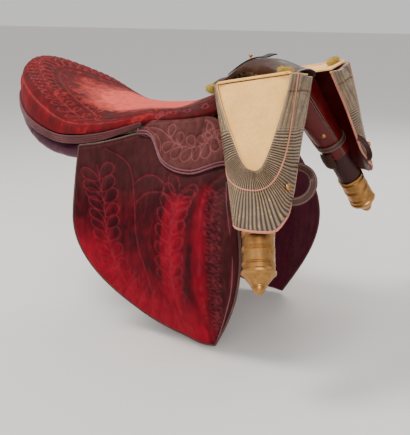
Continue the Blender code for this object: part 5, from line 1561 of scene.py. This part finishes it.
# %% Sleeves, tubes and ferrules
def holster_pieces(name, side):
    s, turn = grid(np.linspace(0, SLEEVE_LENGTH, 60), around(96))
    crease = 0.0007 * wander(s, np.radians(turn) * 0.035, 0.05, 12)
    crease *= np.sin(np.radians(turn)) ** 2 * ease(s / 0.02) * ease((0.185 - s) / 0.02)
    out = sleeve_line(s, turn, crease - 0.0001, side)
    inside = sleeve_line(s[::-1], turn, -0.0030, side)
    sleeve = ring_piece(name + "_sleeve", np.concatenate([out, inside]), [holster_leather],
                        closed=True)
    seat_on(sleeve, "saddle", "holster_red_leather", name + "_holster_sleeve")
    lip = np.linspace(0, 360, 121)
    cords(name + "_mouth_binding", [sleeve_line(0.0, lip, -0.0014, side)], 0.0021, strap_leather,
          "saddle", "holster_red_leather")
    runs = np.linspace(0.008, 0.186, 90)
    seams = [sleeve_line(runs, angle, 0.0004, side) for angle in (28.0, 34.0, 150.0)]
    stitches(name + "_sleeve_seams", seams, linen, "saddle", "holster_red_leather", 0.0036,
             0.0024, 0.0007)
    cords(name + "_sleeve_welt", [sleeve_line(runs, 31.0, 0.0002, side)], 0.0012, tube_leather,
          "saddle", "holster_red_leather", 6)
    floor, bore, outside = 0.332, 0.0225, 0.0250
    barrel = tube_rings([(floor - 0.0025, bore), (0.100, bore), (0.1005, outside)]
                        + [(z, outside) for z in np.linspace(0.105, floor - 0.001, 24)]
                        + [(floor, 0.0246)], side, 64)
    tube = ring_piece(name + "_tube", barrel, [tube_leather])
    seat_on(tube, "saddle", "holster_tube_leather", name + "_holster_tube")


def ferrule_profile():
    start, top, radius, wide = 0.262, 0.336, 0.027, 0.0292
    rows = [(top - 0.003, 0.0253), (start, 0.0253), (start, radius + 0.0006),
            (start + 0.001, radius + 0.0013), (start + 0.003, radius + 0.0013),
            (start + 0.0042, radius + 0.0002)]
    for groove in (0.0075, 0.0100, 0.0300, 0.0330, 0.0360, 0.0560, 0.0590):
        rows += [(start + groove - 0.0010, radius), (start + groove - 0.0004, radius - 0.0005),
                 (start + groove, radius - 0.0002), (start + groove + 0.0004, radius + 0.0008),
                 (start + groove + 0.0010, radius)]
    rows += [(top - 0.007, radius), (top - 0.0055, 0.0282), (top - 0.0045, wide),
             (top - 0.001, wide), (top + 0.0005, 0.0286), (top + 0.003, 0.0250)]
    for w in np.linspace(0.1, 1, 9):
        rows.append((top + 0.003 + 0.0155 * w, mix(0.0250, 0.0128, w)))
    rows += [(top + 0.0190, 0.0134), (top + 0.0204, 0.0132), (top + 0.0210, 0.0112),
             (top + 0.0240, 0.0108), (top + 0.0270, 0.0096), (top + 0.0295, 0.0078),
             (top + 0.0318, 0.0052), (top + 0.033, 0.0026)]
    return rows


for name, side in SIDES:
    holster_pieces(name, side)
    ferrule = ring_piece(name + "_ferrule", tube_rings(ferrule_profile(), side, 96), [old_brass],
                         smooth=35.0)
    seat_on(ferrule, "saddle", "ferrule_brass", name + "_holster_ferrule")

# %% Keepers, buckle and rivets
KEEPER_AT = 0.150


def keeper_and_rivet(name, side):
    rows = [(0.0, 0.0), (0.0, 0.8), (0.06, 1.0), (0.5, 1.08), (0.94, 1.0), (1.0, 0.8), (1.0, 0.0)]
    rings = [sleeve_line(KEEPER_AT + 0.014 * w, around(96), 0.0008 + 0.0025 * h, side)
             for w, h in rows]
    keeper = ring_piece(name + "_keeper", rings, [strap_leather], closed=True)
    seat_on(keeper, "saddle", "keeper_leather", name + "_holster_keeper")
    turn = np.linspace(0, 360, 200)
    edges = [sleeve_line(KEEPER_AT + d, turn, 0.0034, side) for d in (0.0022, 0.0118)]
    stitches(name + "_keeper_stitches", edges, linen, "saddle", "keeper_leather", 0.0034, 0.0023,
             0.0006)
    spot = sleeve_line(0.118, 62.0, 0.0, side)
    rivet = turned(name + "_rivet", spot, sleeve_line(0.118, 62.0, 0.01, side) - spot,
                   ((0, 0.0042), (0.0008, 0.0042), (0.0016, 0.0034), (0.0021, 0.0018)), old_brass)
    seat_on(rivet, "saddle", "ferrule_brass")


for name, side in SIDES:
    keeper_and_rivet(name, side)


def tip_strap(side):
    """A thin strap round the tube above its ferrule, and the brass bar that closes it."""
    rows = [(0.2440, 0.0251), (0.2440, 0.0266), (0.2450, 0.0272), (0.2540, 0.0272),
            (0.2550, 0.0266), (0.2550, 0.0251)]
    strap = ring_piece("tip_strap", tube_rings(rows, side, 96), [black_leather], closed=True)
    seat_on(strap, "saddle", "keeper_leather")
    corners = [(0.2410, 196), (0.2410, 222), (0.2580, 222), (0.2580, 196), (0.2410, 196)]
    line = []
    for (s0, a0), (s1, a1) in zip(corners, corners[1:]):
        for w in np.linspace(0, 1, 10)[:-1]:
            line.append(round_holster(mix(s0, s1, w), 0.0286, 0.0286, mix(a0, a1, w), side))
    line.append(line[0])
    tongue = [round_holster(0.2495, r, r, a, side) for a, r in
              ((192, 0.0284), (200, 0.0292), (212, 0.0294), (225, 0.0290))]
    cords("tip_buckle", [line, smooth_line(tongue, 16)], 0.0013, old_brass, "saddle",
          "ferrule_brass")


tip_strap(-1)
print("holsters done")

# %% [markdown]
# ## The bridge
# A stiff leather arch joins the holsters over the pommel. Its edges are creased and sewn, a
# leg goes down inside each holster, and a black strap with a brass knob crosses it.

# %% Bridge surface
BRIDGE_REAR_X, BRIDGE_FRONT_X, BRIDGE_HALF, BRIDGE_THICKNESS = 0.140, 0.300, 0.0612, 0.0035
BRIDGE_CROWN_Z, BRIDGE_CAMBER, BRIDGE_REAR_DROP, BRIDGE_FRONT_DROP = 0.139, 0.010, 0.038, 0.016
STRAP_THICKNESS, STRAP_WIDTH = 0.0025, 0.014


def bridge_height(x, y):
    run = (x - BRIDGE_REAR_X) / (BRIDGE_FRONT_X - BRIDGE_REAR_X)
    sweep = -BRIDGE_REAR_DROP * (1 - ease(run / 0.45)) - BRIDGE_FRONT_DROP * ease((run - 0.6) / 0.4)
    return BRIDGE_CROWN_Z + sweep - BRIDGE_CAMBER * (np.abs(y) / BRIDGE_HALF) ** 2.4


def bridge_points(x, k, under):
    """Points across the bridge; k runs from -1 to 1 on top and on to 2 down each leg."""
    side = np.sign(k) + (k == 0)
    sunk = BRIDGE_THICKNESS * under
    flat_y = BRIDGE_HALF * np.clip(k, -1, 1)
    top = np.stack([x + 0 * k, flat_y * (1 - 0.06 * under), bridge_height(x, flat_y) - sunk], -1)
    reach = ease((0.030 - np.abs(x - 0.256)) / 0.0016 + 0.5)
    w = np.clip(np.abs(k) - 1, 0, 1) * mix(0.04, 1.0, reach)
    start_z = bridge_height(x, BRIDGE_HALF) - 0.006
    upper = np.clip(w / 0.6, 0, 1)
    lower = np.clip((w - 0.6) / 0.4, 0, 1)
    leg_y = mix(mix(0.0604, 0.0498, upper), 0.0672, lower)
    leg_z = mix(mix(start_z, 0.0580, upper), 0.0260, lower)
    leg = np.stack([x + 0 * k, side * (leg_y - sunk), leg_z + 0 * k], -1)
    turn = ease((np.abs(k) - 0.98) / 0.06)[..., None]
    return mix(top, leg, turn)


bx = np.unique(np.concatenate([np.linspace(BRIDGE_REAR_X, BRIDGE_FRONT_X, 81),
                               np.linspace(0.2250, 0.2272, 8), np.linspace(0.2848, 0.2870, 8)]))
bk = np.concatenate([np.linspace(-2, -1, 26)[:-1], np.linspace(-1, 1, 61),
                     np.linspace(1, 2, 26)[1:]])
grid_x, grid_k = grid(bx, bk)
wear = 0.0004 * wander(grid_x, grid_k * 0.06, 0.04, 21) * (np.abs(grid_k) < 0.97)
face = bridge_points(grid_x, grid_k, 0.0)
face[..., 2] += wear
from_edge = np.minimum(grid_x - BRIDGE_REAR_X, BRIDGE_FRONT_X - grid_x)
crease = np.exp(-((from_edge - 0.0065) / 0.0007) ** 2)
face[..., 2] -= 0.0006 * crease * (np.abs(grid_k) < 0.96)
bridge = sheet_piece("bridge_arch", face, bridge_points(grid_x, grid_k, 1.0), [bridge_leather])
seat_on(bridge, "saddle", "bridge_leather", "holster_bridge")

# %% Bridge edges, strap and knob
across = np.linspace(-0.97, 0.97, 120)
lift = np.array([0, 0, 0.0004])
rows = [bridge_points(0 * across + x, across, 0.0) + lift for x in (0.1440, 0.2960)]
stitches("bridge_stitches", rows, linen, "saddle", "bridge_leather", 0.0036, 0.0024, 0.0007)
edge = [bridge_points(0 * across + x, across, 0.5) for x in (0.1402, 0.2998)]
cords("bridge_edges", edge, 0.0021, black_leather, "saddle", "bridge_leather")
down = np.linspace(1.08, 1.98, 60)
legs = [bridge_points(0 * down + x, s * down, 0.0) + [0, 0.0003 * s, 0]
        for x in (0.2305, 0.2815) for s in (-1, 1)]
stitches("bridge_leg_stitches", legs, linen, "saddle", "bridge_leather", 0.0036, 0.0024, 0.0007)


def crossing(share):
    """Place of the strap's middle line on the bridge."""
    return mix(0.176, 0.226, share), mix(-0.050, 0.030, share)


def strap_grid(out):
    w, n = grid(np.linspace(0, 1, 61), np.linspace(-0.5, 0.5, 11))
    x, y = crossing(w)
    x = x + STRAP_WIDTH * n
    z = bridge_height(x, y) + 0.0008 + 0.006 * ease((w - 0.75) / 0.25) + out
    return np.stack([x, y, z + 0.0004 * np.cos(np.pi * n) * (out > 0)], -1)


strap = sheet_piece("crossing_strap", strap_grid(STRAP_THICKNESS), strap_grid(0.0),
                    [black_leather])
seat_on(strap, "saddle", "black_leather", "bridge_strap")
lines = strap_grid(STRAP_THICKNESS + 0.0002)
stitches("crossing_strap_stitches", [lines[:, 1], lines[:, 9]], linen, "saddle", "black_leather",
         0.0032, 0.0021, 0.0005)
KNOB_HEIGHT, KNOB_RADIUS = 0.008, 0.004
KNOB = ((0, 0.60), (0.10, 0.58), (0.35, 0.45), (0.45, 0.60), (0.55, 0.90), (0.68, 1.0),
        (0.82, 0.98), (0.93, 0.78), (1.0, 0.40))
x, y = crossing(0.45)
spot = np.array([x, y, bridge_height(x, y) + STRAP_THICKNESS + 0.0016])
profile = [(h * KNOB_HEIGHT, r * KNOB_RADIUS) for h, r in KNOB]
knob = turned("brass_knob", spot, (0, 0, 1), profile, old_brass)
seat_on(knob, "saddle", "knob_brass", "bridge_knob")
print("bridge done")

# %% [markdown]
# ## Wood and iron that stay
# The tree, its irons and the catches are seen only from below or behind. Their own solids
# stay, and get the beech and the forged iron made above.

# %% Paint what stays
WOODEN = ("tree_pommel_arch", "tree_cantle_arch", "left_tree_bar", "right_tree_bar")
FORGED = ("tree_head_plate", "crupper_staple", "left_stirrup_bar", "right_stirrup_bar",
          "left_bar_catch", "right_bar_catch")
for material, names in ((beech, WOODEN), (old_iron, FORGED)):
    for node in names:
        for place in NODES[node].material_slots:
            place.material = material

# %% [markdown]
# ## Light, floor and camera
# One large soft light stands high at the front left, a weaker one fills from the right, and a
# low one lifts the rear. The floor is pale. The camera has the angle and the lens worked out
# from the photo.

# %% Floor and lights
def stage_floor(z):
    x, y = grid(np.linspace(-14, 14, 9), np.linspace(-14, 14, 9))
    face = np.stack([x, y, 0 * x + z], -1)
    stuff = bpy.data.materials.new("pale floor")
    stuff.use_nodes = True
    principled = stuff.node_tree.nodes["Principled BSDF"]
    principled.inputs["Base Color"].default_value = (0.74, 0.72, 0.70, 1)
    principled.inputs["Roughness"].default_value = 0.85
    sheet_piece("floor", face, face - [0, 0, 0.02], [stuff])


def soft_light(name, place, target, size, power, colour):
    lamp = bpy.data.lights.new(name, "AREA")
    lamp.size = size
    lamp.energy = power
    lamp.color = colour
    thing = linked(name, lamp)
    thing.location = place
    thing.rotation_euler = (Vector(target) - Vector(place)).to_track_quat("-Z", "Y").to_euler()


FLOOR_Z = -0.392
stage_floor(FLOOR_Z)
soft_light("key", (-0.9, -0.7, 1.9), (0.0, 0.0, 0.0), 0.8, 52.0, (1.0, 0.97, 0.93))
soft_light("fill", (1.3, -1.9, 1.0), (0.0, 0.0, -0.1), 1.2, 26.0, (1.0, 0.98, 0.96))
soft_light("rear", (0.2, 1.9, 1.3), (0.0, 0.0, 0.0), 1.0, 26.0, (1.0, 0.96, 0.92))
world = bpy.data.worlds.new("pale room")
world.use_nodes = True
world.node_tree.nodes["Background"].inputs["Color"].default_value = (0.90, 0.88, 0.87, 1)
world.node_tree.nodes["Background"].inputs["Strength"].default_value = 0.85
bpy.context.scene.world = world

# %% Camera and finish
CAMERA_PLACE = (0.81853, -1.33697, 0.24457)
CAMERA_DEGREES = (28.48, 15.9)
LENS, SENSOR = 63.2, 36.0
view = bpy.data.cameras.new("camera")
view.lens = LENS
view.sensor_width = SENSOR
camera = linked("camera", view)
camera.location = CAMERA_PLACE
turn, tilt = map(math.radians, CAMERA_DEGREES)
sight = Vector((-math.sin(turn) * math.cos(tilt), math.cos(turn) * math.cos(tilt),
                -math.sin(tilt)))
camera.rotation_euler = sight.to_track_quat("-Z", "Y").to_euler()
bpy.context.scene.camera = camera
